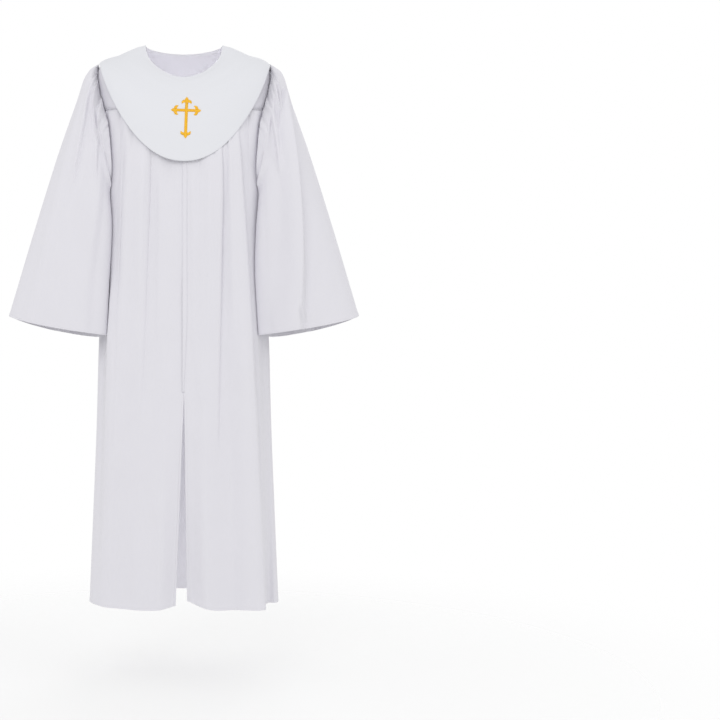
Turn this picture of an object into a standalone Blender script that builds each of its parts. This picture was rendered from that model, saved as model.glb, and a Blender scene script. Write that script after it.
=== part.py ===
"""A gathered robe with bell sleeves and a stole collar, as hollow as when it is worn.

Metres, +Z up. The origin is on the line between the two neck points, and the front faces -Y.
"""

import bpy
import bmesh
import numpy as np
from math import acos, atan2, cos, degrees, exp, pi, radians, sin
from mathutils import Vector
from mathutils.bvhtree import BVHTree

CLOTH = 0.0012  # wall of the robe's cloth
STOLE_CLOTH = 0.0014
EMBROIDERY = 0.0012
SEAM_GAP = 0.0003
YOKE_GAP = 0.0007  # under the yoke, whose seam is curved
YOKE_GAP_FADE = 0.12  # the share of a panel's height over which that gap closes
LAY_GAP = 0.0005  # between a panel and what lies on it
WELD = 1e-5

# Level rings of the body from the neck to the hem: half width, depth in front and behind,
# height in front, at the side and behind, and how square the ring is.
RINGS = ("neck", "collar", "shoulder", "chest", "underarm", "waist", "cuff", "knee", "shin", "hem")
HALF_WIDTH = (0.088, 0.142, 0.195, 0.190, 0.184, 0.184, 0.1945, 0.2005, 0.208, 0.2165)
FRONT = (0.068, 0.094, 0.110, 0.121, 0.124, 0.121, 0.125, 0.133, 0.140, 0.145)
BACK = (0.060, 0.088, 0.108, 0.118, 0.121, 0.119, 0.124, 0.133, 0.140, 0.145)
Z_FRONT = (-0.087, -0.128, -0.172, -0.260, -0.370, -0.520, -0.667, -0.876, -1.067, -1.272)
Z_SIDE = (0.000, -0.020, -0.044, -0.160, -0.320, -0.500, -0.667, -0.876, -1.067, -1.272)
Z_BACK = (-0.009, -0.048, -0.092, -0.195, -0.335, -0.505, -0.667, -0.876, -1.067, -1.272)
SQUARE = (2.0, 2.1, 2.2, 2.4, 2.5, 2.5, 2.4, 2.3, 2.2, 2.2)
SHOULDER, UNDERARM, HEM = 2.0, 4.0, len(RINGS) - 1.0
RIDGE = 0.16  # how round the shoulder line is

# The armhole is an oval on the rings, corner by corner from the shoulder to the front.
ARMHOLE_CORNERS = 24
ARMHOLE_FRONT = radians(27)
ARMHOLE_BACK = radians(27)
EDGE_CROWDING = 2.5  # how much closer the columns are near the armhole
YOKE_CORNER = 3  # the yoke's seams meet the armhole at this corner, on each side of the top

SLIT_TOP = -0.80
SLIT_LEFT = 0.0184  # how far each edge stands from the middle at the hem
SLIT_RIGHT = 0.0066
SLIT_TURN = 0.024  # how far the edges turn in at the hem
SLIT_REACH = 0.045  # over this width
SLIT_LIFT = 0.007  # how much higher the hem is at the edges
SIDE_EASE = 0.12  # folds fade over this share of a front, next to its side seam

# Folds that hang down the panels: where the crest starts and ends, how far it stands out at its
# top, a quarter of the way down and at its foot, and how wide its flanks are, towards -X and +X.
FOLDS_FRONT = (
    # x_top, z_top, x_low, z_low, out_top, out_mid, out_low, flank_left, flank_right
    (0.086, -0.22, 0.078, -0.88, 0.006, 0.016, 0.004, 0.055, 0.010),
    (0.128, -0.20, 0.178, -1.30, 0.006, 0.018, 0.032, 0.055, 0.016),
    (-0.120, -0.22, -0.150, -1.05, 0.006, 0.012, 0.008, 0.014, 0.060),
    (-0.075, -0.24, -0.092, -0.84, 0.006, 0.012, 0.003, 0.045, 0.009),
    (-0.038, -0.28, -0.045, -1.30, 0.002, 0.005, 0.014, 0.030, 0.045),
    (0.036, -0.28, 0.055, -1.30, 0.002, 0.006, 0.016, 0.030, 0.045),
    (-0.155, -0.60, -0.172, -1.30, 0.002, 0.008, 0.018, 0.030, 0.024),
)
FOLDS_BACK = (
    (0.068, -0.30, 0.066, -0.92, 0.006, 0.014, 0.004, 0.009, 0.055),
    (-0.092, -0.24, -0.094, -0.56, 0.006, 0.010, 0.003, 0.030, 0.012),
    (-0.110, -0.50, -0.124, -1.30, 0.003, 0.012, 0.016, 0.045, 0.014),
    (0.100, -0.20, 0.118, -1.30, 0.006, 0.009, 0.014, 0.016, 0.050),
    (-0.030, -0.47, -0.034, -1.30, 0.004, 0.009, 0.014, 0.040, 0.040),
    (0.020, -0.90, 0.024, -1.30, 0.002, 0.006, 0.010, 0.035, 0.035),
    (0.140, -0.17, 0.150, -0.60, 0.006, 0.006, 0.002, 0.010, 0.016),
)
FOLD_SPREAD = 0.3  # the share of a fold that goes sideways, at the side line
FOLD_EASE = 0.10  # a fold starts and ends over this height

# Gathers sewn into the yoke's seams.
GATHERS_BACK = 14
GATHERS_FRONT = 6
GATHER_OUT = 0.0028
GATHER_START = 0.012  # how far below the seam a gather stands out fully
GATHER_DROP = 0.070

# Stations along a sleeve: outer edge, inner edge, depth in front and behind.
SLEEVE = (
    # out_x, out_z, in_x, in_z, front, back
    (0.197, -0.044, 0.184, -0.320, 0.092, 0.088),
    (0.226, -0.074, 0.168, -0.345, 0.100, 0.091),
    (0.246, -0.130, 0.157, -0.372, 0.103, 0.092),
    (0.288, -0.249, 0.150, -0.440, 0.103, 0.092),
    (0.344, -0.428, 0.156, -0.545, 0.098, 0.090),
    (0.401, -0.619, 0.182, -0.668, 0.088, 0.086),
)
SLEEVE_SQUARE = 3.6  # on the side that faces the body
SLEEVE_CLEAR = 0.008  # between a sleeve and the body that it hangs beside
SLEEVE_EASE = 0.16  # the share of its length over which the sleeve leaves the armhole
CUFF_SAG_FRONT = 0.012  # how far the cuff's edge bows down
CUFF_SAG_BACK = 0.018
SLEEVE_GATHERS = 24  # in a whole turn, though only the upper half is gathered
SLEEVE_GATHER_OUT = 0.0035
SLEEVE_GATHER_START = 0.03  # the share of the length where they stand out fully
SLEEVE_GATHER_DROP = 0.15  # the share of the length over which they fade
SLEEVE_FOLD_EASE = 0.2
# Folds of a sleeve: crest's angle at its top and foot, from the sleeve's top to its front, the
# shares of the length where it starts and ends, how far it stands out, and its flanks' angles.
SLEEVE_FOLDS = {
    -1: (
        (48, 60, 0.10, 0.80, 0.007, 9, 18),
        (76, 80, 0.05, 0.38, 0.005, 8, 8),
        (96, 112, 0.08, 1.10, 0.008, 24, 12),
        (136, 130, 0.20, 1.10, 0.006, 16, 14),
        (-52, -58, 0.10, 1.10, 0.007, 18, 10),
        (-104, -112, 0.12, 1.10, 0.007, 14, 22),
    ),
    1: (
        (70, 103, 0.12, 1.10, 0.011, 8, 30),
        (60, 64, 0.05, 0.42, 0.005, 8, 8),
        (36, 46, 0.06, 0.60, 0.005, 10, 12),
        (134, 136, 0.20, 1.10, 0.006, 14, 14),
        (-58, -66, 0.10, 1.10, 0.008, 20, 9),
        (-110, -118, 0.12, 1.10, 0.006, 14, 18),
    ),
}

# The stole collar's edges, seen from the front and from behind.
STOLE_HALF_WIDTH = 0.1905
STOLE_TOP = -0.043
STOLE_FRONT_DROP = -0.2845
STOLE_FRONT_ROUND = (2.2, 1.1)  # how round the bib is, across and down
STOLE_BACK_ROUND = (1.0, 1.0)
STOLE_TIP = -0.470
STOLE_V_HALF_WIDTH = 0.087
STOLE_V_TIP = -0.151
STOLE_LIFT = 0.0036  # above the yoke
STOLE_LIFT_LOW = 0.0085  # above the panels' folds
STOLE_LIFT_RINGS = (0.4, 1.6, 2.6)  # where the first lift is reached, and where the second starts and ends

PLACKET_LEFT = 0.0035
PLACKET_RIGHT = 0.0068
PLACKET_TOP = -0.250
PLACKET_END = -0.795
PLACKET_LIFT = 0.0009

# The cross, measured from where its bars meet.
CROSS_AT = (0.0053, -0.170)
CROSS_TILT = radians(2)
CROSS_ARMS = ((90, 0.0315), (180, 0.034), (270, 0.064), (0, 0.0325))  # turned, length
BAR = 0.0028  # half the width of a bar
STEM_STEP = 0.008
# An arm's end, measured back from its tip: half widths of the point, then the edges of a barb.
POINT = ((0.0118, 0.0028), (0.0072, 0.0032), (0.0038, 0.0028), (0.0, 0.0004))
BARB = (
    # back_inner, side_inner, back_outer, side_outer
    (0.0118, 0.0028, 0.0072, 0.0032),
    (0.0138, 0.0068, 0.0088, 0.0070),
    (0.0168, 0.0092, 0.0124, 0.0108),
    (0.0190, 0.0104, 0.0172, 0.0124),
)

# How finely each piece is divided.
PANEL_ROWS_BELOW = 7  # under the armhole
FRONT_COLUMNS = 26
BACK_COLUMNS = 56
SLEEVE_ROWS = (0, 0.03, 0.075, 0.13, 0.20, 0.29, 0.40, 0.52, 0.66, 0.82, 1.0)
SLEEVE_COLUMNS_GATHERED = 48
SLEEVE_COLUMNS_BELOW = 12
YOKE_COLUMNS = 48
YOKE_ROWS = 6
STOLE_COLUMNS = 48
STOLE_ROWS = 7

ROBE_WHITE = (0.74, 0.73, 0.78, 1)
STOLE_WHITE = (0.80, 0.81, 0.84, 1)
GOLD = (0.90, 0.52, 0.03, 1)

COLLECTION = "Clergy robe"


def clear_scene():
    for obj in list(bpy.data.objects):
        bpy.data.objects.remove(obj, do_unlink=True)
    for collection in list(bpy.data.collections):
        bpy.data.collections.remove(collection)


def cloth_material(name, colour, roughness):
    material = bpy.data.materials.new(name)
    material.use_nodes = True
    shader = material.node_tree.nodes["Principled BSDF"]
    shader.inputs["Base Color"].default_value = colour
    shader.inputs["Roughness"].default_value = roughness
    shader.inputs["Metallic"].default_value = 0.0
    return material


def smooth(t):
    t = min(max(t, 0.0), 1.0)
    return t * t * (3 - 2 * t)


def curve_at(values, s):
    """A smooth curve through evenly spaced values, read at s."""
    last = len(values) - 1
    i = int(min(max(s, 0), last - 1e-9))
    t = s - i
    p1, p2 = values[i], values[i + 1]
    p0 = values[i - 1] if i else 2 * p1 - p2
    p3 = values[i + 2] if i + 2 <= last else 2 * p2 - p1
    return 0.5 * (2 * p1 + (p2 - p0) * t + (2 * p0 - 5 * p1 + 4 * p2 - p3) * t**2
                  + (3 * p1 - p0 - 3 * p2 + p3) * t**3)


def ring_radius(s, around):
    """How far the ring's wall is from the axis at an angle from the front."""
    depth = curve_at(FRONT if cos(around) > 0 else BACK, s)
    n = curve_at(SQUARE, s)
    across = abs(sin(around)) / curve_at(HALF_WIDTH, s)
    return (across**n + (abs(cos(around)) / depth)**n) ** (-1 / n)


def ring_height(s, around):
    """The ring falls from the shoulder line to the front and to the back."""
    lean = (cos(around)**2 + RIDGE**2) ** 0.5 - RIDGE
    lean /= (1 + RIDGE**2) ** 0.5 - RIDGE
    end = curve_at(Z_FRONT if cos(around) > 0 else Z_BACK, s)
    return curve_at(Z_SIDE, s) * (1 - lean) + end * lean


def bare(s, around):
    """A point of the body without folds."""
    r = ring_radius(s, around)
    return np.array((r * sin(around), -r * cos(around), ring_height(s, around)))


def fold_out(x, z, folds):
    """How far the folds stand out at a place."""
    out = 0.0
    for x_top, z_top, x_low, z_low, out_top, out_mid, out_low, left, right in folds:
        along = (z_top - z) / (z_top - z_low)
        crest = x_top + (x_low - x_top) * along
        flank = left if x < crest else right
        side = smooth(1 - abs(x - crest) / flank)
        ease = smooth((z_top - z) / FOLD_EASE) * smooth((z - z_low) / FOLD_EASE + 1)
        out += side * ease * np.interp(along, (0, 0.25, 1), (out_top, out_mid, out_low))
    return out


def gather_out(s, around, share, count):
    """Small waves that start at the yoke's seam and fade below it."""
    drop = ring_height(YOKE_RING, around) - ring_height(s, around)
    if drop <= 0:
        return 0.0
    out = -GATHER_OUT * cos(2 * pi * count * share)
    return out * smooth(drop / GATHER_START) * exp(-max(drop - GATHER_START, 0) / GATHER_DROP)


def slit_edge(z, at_hem):
    """How far a front edge stands from the middle line."""
    open_share = max(SLIT_TOP - z, 0) / (SLIT_TOP - Z_FRONT[-1])
    return SEAM_GAP / 2 + (at_hem - SEAM_GAP / 2) * open_share


def armhole(corner):
    """Ring and angle of an armhole corner. Corner 0 is the shoulder's end, and they run to the front."""
    turn = 2 * pi * corner / ARMHOLE_CORNERS
    middle, half = (SHOULDER + UNDERARM) / 2, (UNDERARM - SHOULDER) / 2
    reach = ARMHOLE_FRONT if sin(turn) > 0 else ARMHOLE_BACK
    return middle - half * cos(turn), pi / 2 - reach * sin(turn)


YOKE_RING = armhole(YOKE_CORNER)[0]


def panel_rows():
    """Rings of a panel's rows: the armhole's corners, then to the hem."""
    half = ARMHOLE_CORNERS // 2
    rows = [armhole(c)[0] for c in range(YOKE_CORNER, half + 1)]
    return rows + list(np.linspace(UNDERARM, HEM, PANEL_ROWS_BELOW + 1))[1:]


def side_edge(s, reach):
    """How far the panel's edge is from the side line: the armhole's edge, then the side seam."""
    if s >= UNDERARM:
        return 0.0
    middle, half = (SHOULDER + UNDERARM) / 2, (UNDERARM - SHOULDER) / 2
    turn = acos(min(max((middle - s) / half, -1), 1))
    return reach * sin(turn)


def gap_angle(s, around):
    return SEAM_GAP / ring_radius(s, around)


def yoke_gap(s):
    """How far a panel's ring is lowered, to clear the yoke's curved seam."""
    below = (s - YOKE_RING) / (HEM - YOKE_RING)
    return YOKE_GAP * (1 - smooth(below / YOKE_GAP_FADE))


def front_point(s, share, side):
    """A front panel's point, from the middle (share 0) to the side seam (share 1)."""
    z = ring_height(s, 0)
    at_hem = SLIT_LEFT if side < 0 else SLIT_RIGHT
    inner = atan2(slit_edge(z, at_hem), curve_at(FRONT, s))
    edge = side_edge(s, ARMHOLE_FRONT) + gap_angle(s, pi / 2) / 2
    around = inner + (pi / 2 - inner) * share - edge * share**EDGE_CROWDING
    x, y, z = bare(s, around)
    out = fold_out(side * x, z, FOLDS_FRONT) + gather_out(s, around, share, GATHERS_FRONT)
    out *= smooth((1 - share) / SIDE_EASE)
    opened = smooth((SLIT_TOP - z) / (SLIT_TOP - Z_FRONT[-1]))
    near = smooth(1 - (x - abs(slit_edge(z, at_hem))) / SLIT_REACH)
    out -= SLIT_TURN * opened * near
    z += SLIT_LIFT * opened * near - yoke_gap(s)
    return side * (x + max(out, 0) * FOLD_SPREAD * sin(around)), y - out, z


def back_point(s, share):
    """A back panel's point, from the -X side seam (share 0) to the +X one (share 1)."""
    edge = side_edge(s, ARMHOLE_BACK) + gap_angle(s, pi / 2) / 2
    crowded = max(1 - 2 * share, 0)**EDGE_CROWDING - max(2 * share - 1, 0)**EDGE_CROWDING
    around = pi / 2 + pi * share + edge * crowded
    x, y, z = bare(s, around)
    x = -x
    out = fold_out(x, z, FOLDS_BACK) + gather_out(s, around, share, GATHERS_BACK)
    out *= smooth(2 * min(share, 1 - share) / SIDE_EASE)
    return x - out * FOLD_SPREAD * sin(around), y + out, z - yoke_gap(s)


def sheet_faces(rows, columns, closed=False):
    """Faces of a grid of points, row by row, facing out where columns run from -X round the front."""
    across = columns if closed else columns - 1
    faces = []
    for i in range(rows - 1):
        for j in range(across):
            k = (j + 1) % columns
            faces.append((i * columns + j, (i + 1) * columns + j, (i + 1) * columns + k, i * columns + k))
    return faces


def cloth_wall(name, grid, material, thickness, closed=False, flip=False, outward=False):
    """A wall of cloth on a grid of points, thickened inwards or outwards."""
    rows, columns = len(grid), len(grid[0])
    mesh = bpy.data.meshes.new(name)
    points = [tuple(p) for row in grid for p in row]
    mesh.from_pydata(points, [], sheet_faces(rows, columns, closed))
    if flip:
        mesh.flip_normals()
    mesh.shade_smooth()
    return thicken(name, mesh, material, thickness, outward)


def thicken(name, mesh, material, thickness, outward):
    """An object with a mesh's surface as its wall's outer face, or its inner one where it grows outwards."""
    mesh.materials.append(material)
    obj = bpy.data.objects.new(name, mesh)
    bpy.data.collections[COLLECTION].objects.link(obj)
    solidify = obj.modifiers.new("Cloth thickness", "SOLIDIFY")
    solidify.thickness = thickness
    solidify.offset = 1 if outward else -1
    return obj


def make_front(side, name, material):
    rows = panel_rows()
    shares = np.linspace(0, 1, FRONT_COLUMNS + 1)
    grid = [[front_point(s, t, side) for t in shares] for s in rows]
    return cloth_wall(name, grid, material, CLOTH, flip=side < 0)


def make_back(material):
    shares = np.linspace(0, 1, BACK_COLUMNS + 1)
    grid = [[back_point(s, t) for t in shares] for s in panel_rows()]
    return cloth_wall("back_panel", grid, material, CLOTH, flip=True)


def yoke_end(around):
    """The ring where the yoke ends: its seam, or the armhole's edge."""
    from_side = abs(around - pi / 2) if around < pi else abs(around - 3 * pi / 2)
    reach = ARMHOLE_FRONT if cos(around) > 0 else ARMHOLE_BACK
    if from_side >= side_edge(YOKE_RING, reach):
        return YOKE_RING
    turn = np.arcsin(from_side / reach)
    return (SHOULDER + UNDERARM) / 2 - (UNDERARM - SHOULDER) / 2 * cos(turn)


def yoke_angles():
    """Angles of the yoke's columns, with one on each armhole corner."""
    corners = sorted({armhole(c)[1] for c in range(-YOKE_CORNER, YOKE_CORNER + 1)})
    per_front = YOKE_COLUMNS // 6
    front = list(np.linspace(0, corners[0], per_front + 1))[:-1]
    back = list(np.linspace(corners[-1], pi, per_front + 1))[1:]
    half = front + corners + back
    return half + [2 * pi - a for a in reversed(half[1:-1])]


def make_yoke(material):
    grid = [[bare(yoke_end(a) * i / YOKE_ROWS, a) for a in yoke_angles()] for i in range(YOKE_ROWS + 1)]
    return cloth_wall("yoke", grid, material, CLOTH, closed=True)


def body_half_width(y, z):
    """How far the body's wall is from the middle at a depth and a height."""
    s = np.interp(-z, [-h for h in Z_SIDE], range(len(RINGS)))
    n = curve_at(SQUARE, s)
    depth = curve_at(FRONT if y < 0 else BACK, s)
    return curve_at(HALF_WIDTH, s) * max(1 - abs(y / depth)**n, 0) ** (1 / n)


def armhole_point(turn):
    """A point of the armhole's edge, on the straight lines between its corners."""
    place = turn / (2 * pi) * ARMHOLE_CORNERS
    low = int(np.floor(place + 1e-9))
    a, b = bare(*armhole(low)), bare(*armhole(low + 1))
    return a + (b - a) * (place - low)


def sleeve_section(v, turn):
    """A point of the sleeve's oval at a share of its length, without folds."""
    out_x, out_z, in_x, in_z, front, back = (
        curve_at([row[k] for row in SLEEVE], v * (len(SLEEVE) - 1)) for k in range(6))
    middle = np.array(((out_x + in_x) / 2, 0, (out_z + in_z) / 2))
    half = np.array(((out_x - in_x) / 2, 0, (out_z - in_z) / 2))
    n = 2.0 if cos(turn) > 0 else 2.0 + (SLEEVE_SQUARE - 2.0) * smooth(-cos(turn) * 2)
    r = (abs(cos(turn))**n + abs(sin(turn))**n) ** (-1 / n)
    depth = front if sin(turn) > 0 else back
    return middle + half * r * cos(turn) + np.array((0, -depth * r * sin(turn), 0))


def sleeve_fold_out(v, angle, folds):
    """How far a sleeve's folds stand out at a share of its length and an angle in degrees."""
    out = 0.0
    for top, low, starts, ends, stands, flank_up, flank_down in folds:
        past = abs(angle) - abs(top + (low - top) * v)
        if angle * top > 0:
            side = smooth(1 - abs(past) / (flank_down if past > 0 else flank_up))
            ease = smooth((v - starts) / SLEEVE_FOLD_EASE) * smooth((ends - v) / SLEEVE_FOLD_EASE)
            out += stands * side * ease
    return out


def sleeve_point(v, turn, folds):
    """A point of the +X sleeve. The turn runs from the top to the front."""
    ease = smooth(v / SLEEVE_EASE)
    point = (1 - ease) * armhole_point(turn) + ease * sleeve_section(v, turn)
    section_middle = (sleeve_section(v, 0) + sleeve_section(v, pi)) / 2
    middle = (1 - ease) * bare((SHOULDER + UNDERARM) / 2, pi / 2) + ease * section_middle
    angle = (degrees(turn) + 180) % 360 - 180
    wave = -cos(SLEEVE_GATHERS * turn) * smooth((cos(turn) + 0.2) / 0.3)
    out = SLEEVE_GATHER_OUT * wave * smooth(v / SLEEVE_GATHER_START) * exp(-v / SLEEVE_GATHER_DROP)
    out += sleeve_fold_out(v, angle, folds)
    away = point - middle
    point = point + away / np.linalg.norm(away) * out
    if v > 0 and point[2] < -0.10:
        clear = body_half_width(point[1], point[2]) + SLEEVE_CLEAR * smooth(v / 0.10)
        point[0] = max(point[0], clear)
    point[2] -= (CUFF_SAG_FRONT if sin(turn) > 0 else CUFF_SAG_BACK) * v**3 * abs(sin(turn))
    return point


def sleeve_turns():
    """Angles of a sleeve's columns: close where it is gathered, wide on the side near the body."""
    gathered = np.linspace(-pi / 2, pi / 2, SLEEVE_COLUMNS_GATHERED + 1)
    below = np.linspace(pi / 2, 3 * pi / 2, SLEEVE_COLUMNS_BELOW + 1)[1:-1]
    return list(gathered) + list(below)


def make_sleeve(side, name, material):
    grid = []
    centre = bare((SHOULDER + UNDERARM) / 2, pi / 2)
    for v in SLEEVE_ROWS:
        row = []
        for turn in sleeve_turns():
            point = sleeve_point(v, turn, SLEEVE_FOLDS[side])
            inward = (centre - point) * (0, 1, 1)
            start_gap = 1.5 * SEAM_GAP * (1 - smooth(v / 0.1))
            point = point + inward / np.linalg.norm(inward) * start_gap + (start_gap, 0, 0)
            row.append((side * point[0], point[1], point[2]))
        grid.append(row)
    return cloth_wall(name, grid, material, CLOTH, closed=True, flip=side > 0)


def ring_where(around, low, high, past):
    """The ring between low and high where a meridian passes an outline."""
    for _ in range(40):
        middle = (low + high) / 2
        low, high = (low, middle) if past(bare(middle, around)) else (middle, high)
    return (low + high) / 2


def stole_rings(around):
    """Rings of the stole's neck edge and outer edge."""
    def past_outer(p):
        behind = p[1] > 0
        drop = (STOLE_TIP if behind else STOLE_FRONT_DROP) - STOLE_TOP
        across_round, down_round = STOLE_BACK_ROUND if behind else STOLE_FRONT_ROUND
        down = max((p[2] - STOLE_TOP) / drop, 0)
        return (abs(p[0]) / STOLE_HALF_WIDTH)**across_round + down**down_round > 1

    def past_v(p):
        return abs(p[0]) / STOLE_V_HALF_WIDTH + p[2] / STOLE_V_TIP > 1

    outer = ring_where(around, 0.5, UNDERARM + 2, past_outer)
    inner = ring_where(around, 0.0, outer, past_v) if cos(around) < 0 else 0.0
    return inner, outer


def surface_normal(s, around):
    h = 1e-3
    along = bare(s + h, around) - bare(s - h if s > h else s, around)
    across = bare(s, around + h) - bare(s, around - h)
    n = np.cross(across, along)
    n /= np.linalg.norm(n)
    return n if n @ (n * 0 + (sin(around), -cos(around), 0.6)) > 0 else -n


def stole_point(share, around):
    inner, outer = stole_rings(around)
    s = inner + (outer - inner) * share
    first, second, third = STOLE_LIFT_RINGS
    lift = LAY_GAP + (STOLE_LIFT - LAY_GAP) * smooth(s / first)
    lift += (STOLE_LIFT_LOW - STOLE_LIFT) * smooth((s - second) / (third - second))
    return bare(s, around) + surface_normal(s, around) * lift


def make_stole(material):
    angles = [2 * pi * j / STOLE_COLUMNS for j in range(STOLE_COLUMNS)]
    grid = [[stole_point(i / STOLE_ROWS, a) for a in angles] for i in range(STOLE_ROWS + 1)]
    return cloth_wall("stole_collar", grid, material, STOLE_CLOTH, closed=True, outward=True)


def make_placket(material):
    """The strip that lies over the closed part of the front edges."""
    ends = [np.interp(-z, [-h for h in Z_FRONT], range(len(RINGS))) for z in (PLACKET_TOP, PLACKET_END)]
    between = [s for s in panel_rows() if ends[0] < s < ends[1]]
    grid = []
    for s in (ends[0], *between, ends[1]):
        row = []
        for across in (-PLACKET_LEFT, 0.0, PLACKET_RIGHT):
            x, y, z = bare(s, atan2(across, curve_at(FRONT, s)))
            row.append((x, y - PLACKET_LIFT, z))
        grid.append(row)
    return cloth_wall("centre_placket", grid, material, CLOTH, outward=True)


def ladder(pairs):
    """Faces between one pair of points and the next."""
    return [(a, b, d, c) for (a, b), (c, d) in zip(pairs, pairs[1:])]


def arm_faces(length):
    """An arm along +X: its stem and point, and a barb on each side."""
    stem_end = length - POINT[0][0]
    steps = max(round((stem_end - BAR) / STEM_STEP), 1)
    spine = [(BAR + (stem_end - BAR) * k / steps, BAR) for k in range(steps)]
    spine += [(length - back, side) for back, side in POINT]
    faces = ladder([((a, -b), (a, b)) for a, b in spine])
    for side in (-1, 1):
        faces += ladder([((length - a, side * b), (length - c, side * d)) for a, b, c, d in BARB])
    return faces


def cross_faces():
    """The cross in its own plane: the square where the bars meet, and its arms."""
    square = [(-BAR, -BAR), (BAR, -BAR), (BAR, BAR), (-BAR, BAR)]
    placed = [(square, -CROSS_TILT)]
    for turned, length in CROSS_ARMS:
        placed += [(face, radians(turned) - CROSS_TILT) for face in arm_faces(length)]
    return [[(a * cos(t) - b * sin(t), a * sin(t) + b * cos(t)) for a, b in face] for face, t in placed]


def make_cross(stole, material):
    """The cross lies on the stole's outer face."""
    worn = stole.evaluated_get(bpy.context.evaluated_depsgraph_get()).data
    tree = BVHTree.FromPolygons([v.co for v in worn.vertices], [p.vertices for p in worn.polygons])
    bm = bmesh.new()
    for face in cross_faces():
        corners = []
        for x, z in face:
            place, *_ = tree.ray_cast(Vector((CROSS_AT[0] + x, -1, CROSS_AT[1] + z)), Vector((0, 1, 0)))
            corners.append(bm.verts.new(place - Vector((0, LAY_GAP, 0))))
        bm.faces.new(corners)
    bmesh.ops.remove_doubles(bm, verts=bm.verts, dist=WELD)
    bmesh.ops.recalc_face_normals(bm, faces=bm.faces)
    mesh = bpy.data.meshes.new("gold_cross")
    bm.to_mesh(mesh)
    bm.free()
    if mesh.polygons[0].normal.y > 0:
        mesh.flip_normals()
    return thicken("gold_cross", mesh, material, EMBROIDERY, outward=True)


def main():
    clear_scene()
    bpy.context.scene.collection.children.link(bpy.data.collections.new(COLLECTION))
    white = cloth_material("robe_cloth", ROBE_WHITE, 0.75)
    stole_white = cloth_material("stole_cloth", STOLE_WHITE, 0.7)
    gold = cloth_material("gold_thread", GOLD, 0.45)
    make_front(-1, "front_left", white)
    make_front(1, "front_right", white)
    make_placket(white)
    make_back(white)
    make_yoke(white)
    make_sleeve(-1, "sleeve_left", white)
    make_sleeve(1, "sleeve_right", white)
    stole = make_stole(stole_white)
    bpy.context.view_layer.update()
    make_cross(stole, gold)


main()
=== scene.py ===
"""Clergy Robe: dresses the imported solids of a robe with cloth, gathers, seams and an embroidered cross.

Metres, +Z up. The origin is on the line between the two neck points, and the front faces -Y.
Each piece of cloth is a grid of points on rings of the body or of a sleeve, thickened into a thin wall.
"""

from math import ceil, cos, pi, radians, sin

import bmesh
import bpy
import numpy as np
from bpy.props import FloatProperty, FloatVectorProperty, IntProperty, PointerProperty
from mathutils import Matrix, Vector
from mathutils.bvhtree import BVHTree


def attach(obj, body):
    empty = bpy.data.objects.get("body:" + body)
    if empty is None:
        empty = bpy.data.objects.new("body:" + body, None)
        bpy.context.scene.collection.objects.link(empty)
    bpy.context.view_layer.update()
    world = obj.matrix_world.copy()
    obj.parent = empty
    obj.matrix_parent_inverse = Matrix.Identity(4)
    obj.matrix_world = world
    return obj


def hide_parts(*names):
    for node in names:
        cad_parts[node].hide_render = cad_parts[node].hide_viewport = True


bl_info = {
    "name": "Clergy Robe",
    "version": (1, 0, 0),
    "blender": (4, 5, 0),
    "location": "View3D > Sidebar > Robe",
    "description": "Sews a gathered robe with bell sleeves and a stole collar round its packed solids",
    "category": "Object",
}

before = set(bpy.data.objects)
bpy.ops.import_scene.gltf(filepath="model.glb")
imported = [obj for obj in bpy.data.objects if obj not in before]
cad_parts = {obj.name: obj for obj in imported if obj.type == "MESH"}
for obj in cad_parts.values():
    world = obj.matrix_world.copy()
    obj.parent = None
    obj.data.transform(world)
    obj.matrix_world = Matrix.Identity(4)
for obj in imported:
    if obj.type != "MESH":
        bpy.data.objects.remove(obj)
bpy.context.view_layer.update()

# Rings of the body from the neck to the hem: half width, depth in front and behind, height in
# front, at the side and behind, and how square the ring is.
HALF_WIDTH = (0.088, 0.142, 0.195, 0.190, 0.184, 0.184, 0.1945, 0.2005, 0.208, 0.2165)
FRONT = (0.068, 0.094, 0.110, 0.121, 0.124, 0.121, 0.125, 0.133, 0.140, 0.145)
BACK = (0.060, 0.088, 0.108, 0.118, 0.121, 0.119, 0.124, 0.133, 0.140, 0.145)
Z_FRONT = (-0.087, -0.128, -0.172, -0.260, -0.370, -0.520, -0.667, -0.876, -1.067, -1.272)
Z_SIDE = (0.000, -0.025, -0.054, -0.160, -0.320, -0.500, -0.667, -0.876, -1.067, -1.272)
Z_BACK = (-0.006, -0.048, -0.092, -0.195, -0.335, -0.505, -0.667, -0.876, -1.067, -1.272)
SQUARE = (2.0, 2.1, 2.2, 2.4, 2.5, 2.5, 2.4, 2.3, 2.2, 2.2)
SHOULDER, UNDERARM, HEM = 2.0, 4.0, len(HALF_WIDTH) - 1.0
RIDGE = 0.16  # how round the shoulder line is
NECK_ROUND = 0.32  # how much faster the neck's edge falls to the front than an even curve

ARMHOLE_MIDDLE, ARMHOLE_HALF = (SHOULDER + UNDERARM) / 2, (UNDERARM - SHOULDER) / 2
# How far the armhole's edge is from the side line, in degrees, evenly from its top to its foot.
ARMHOLE_FRONT = (0, 2, 4, 11, 20, 23, 24, 20, 0)
ARMHOLE_BACK = (0, 7, 12, 15, 17, 18, 17, 12, 0)
YOKE_FRONT = -0.160  # height of the yoke's seam in front and behind
YOKE_BACK = -0.1315
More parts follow.
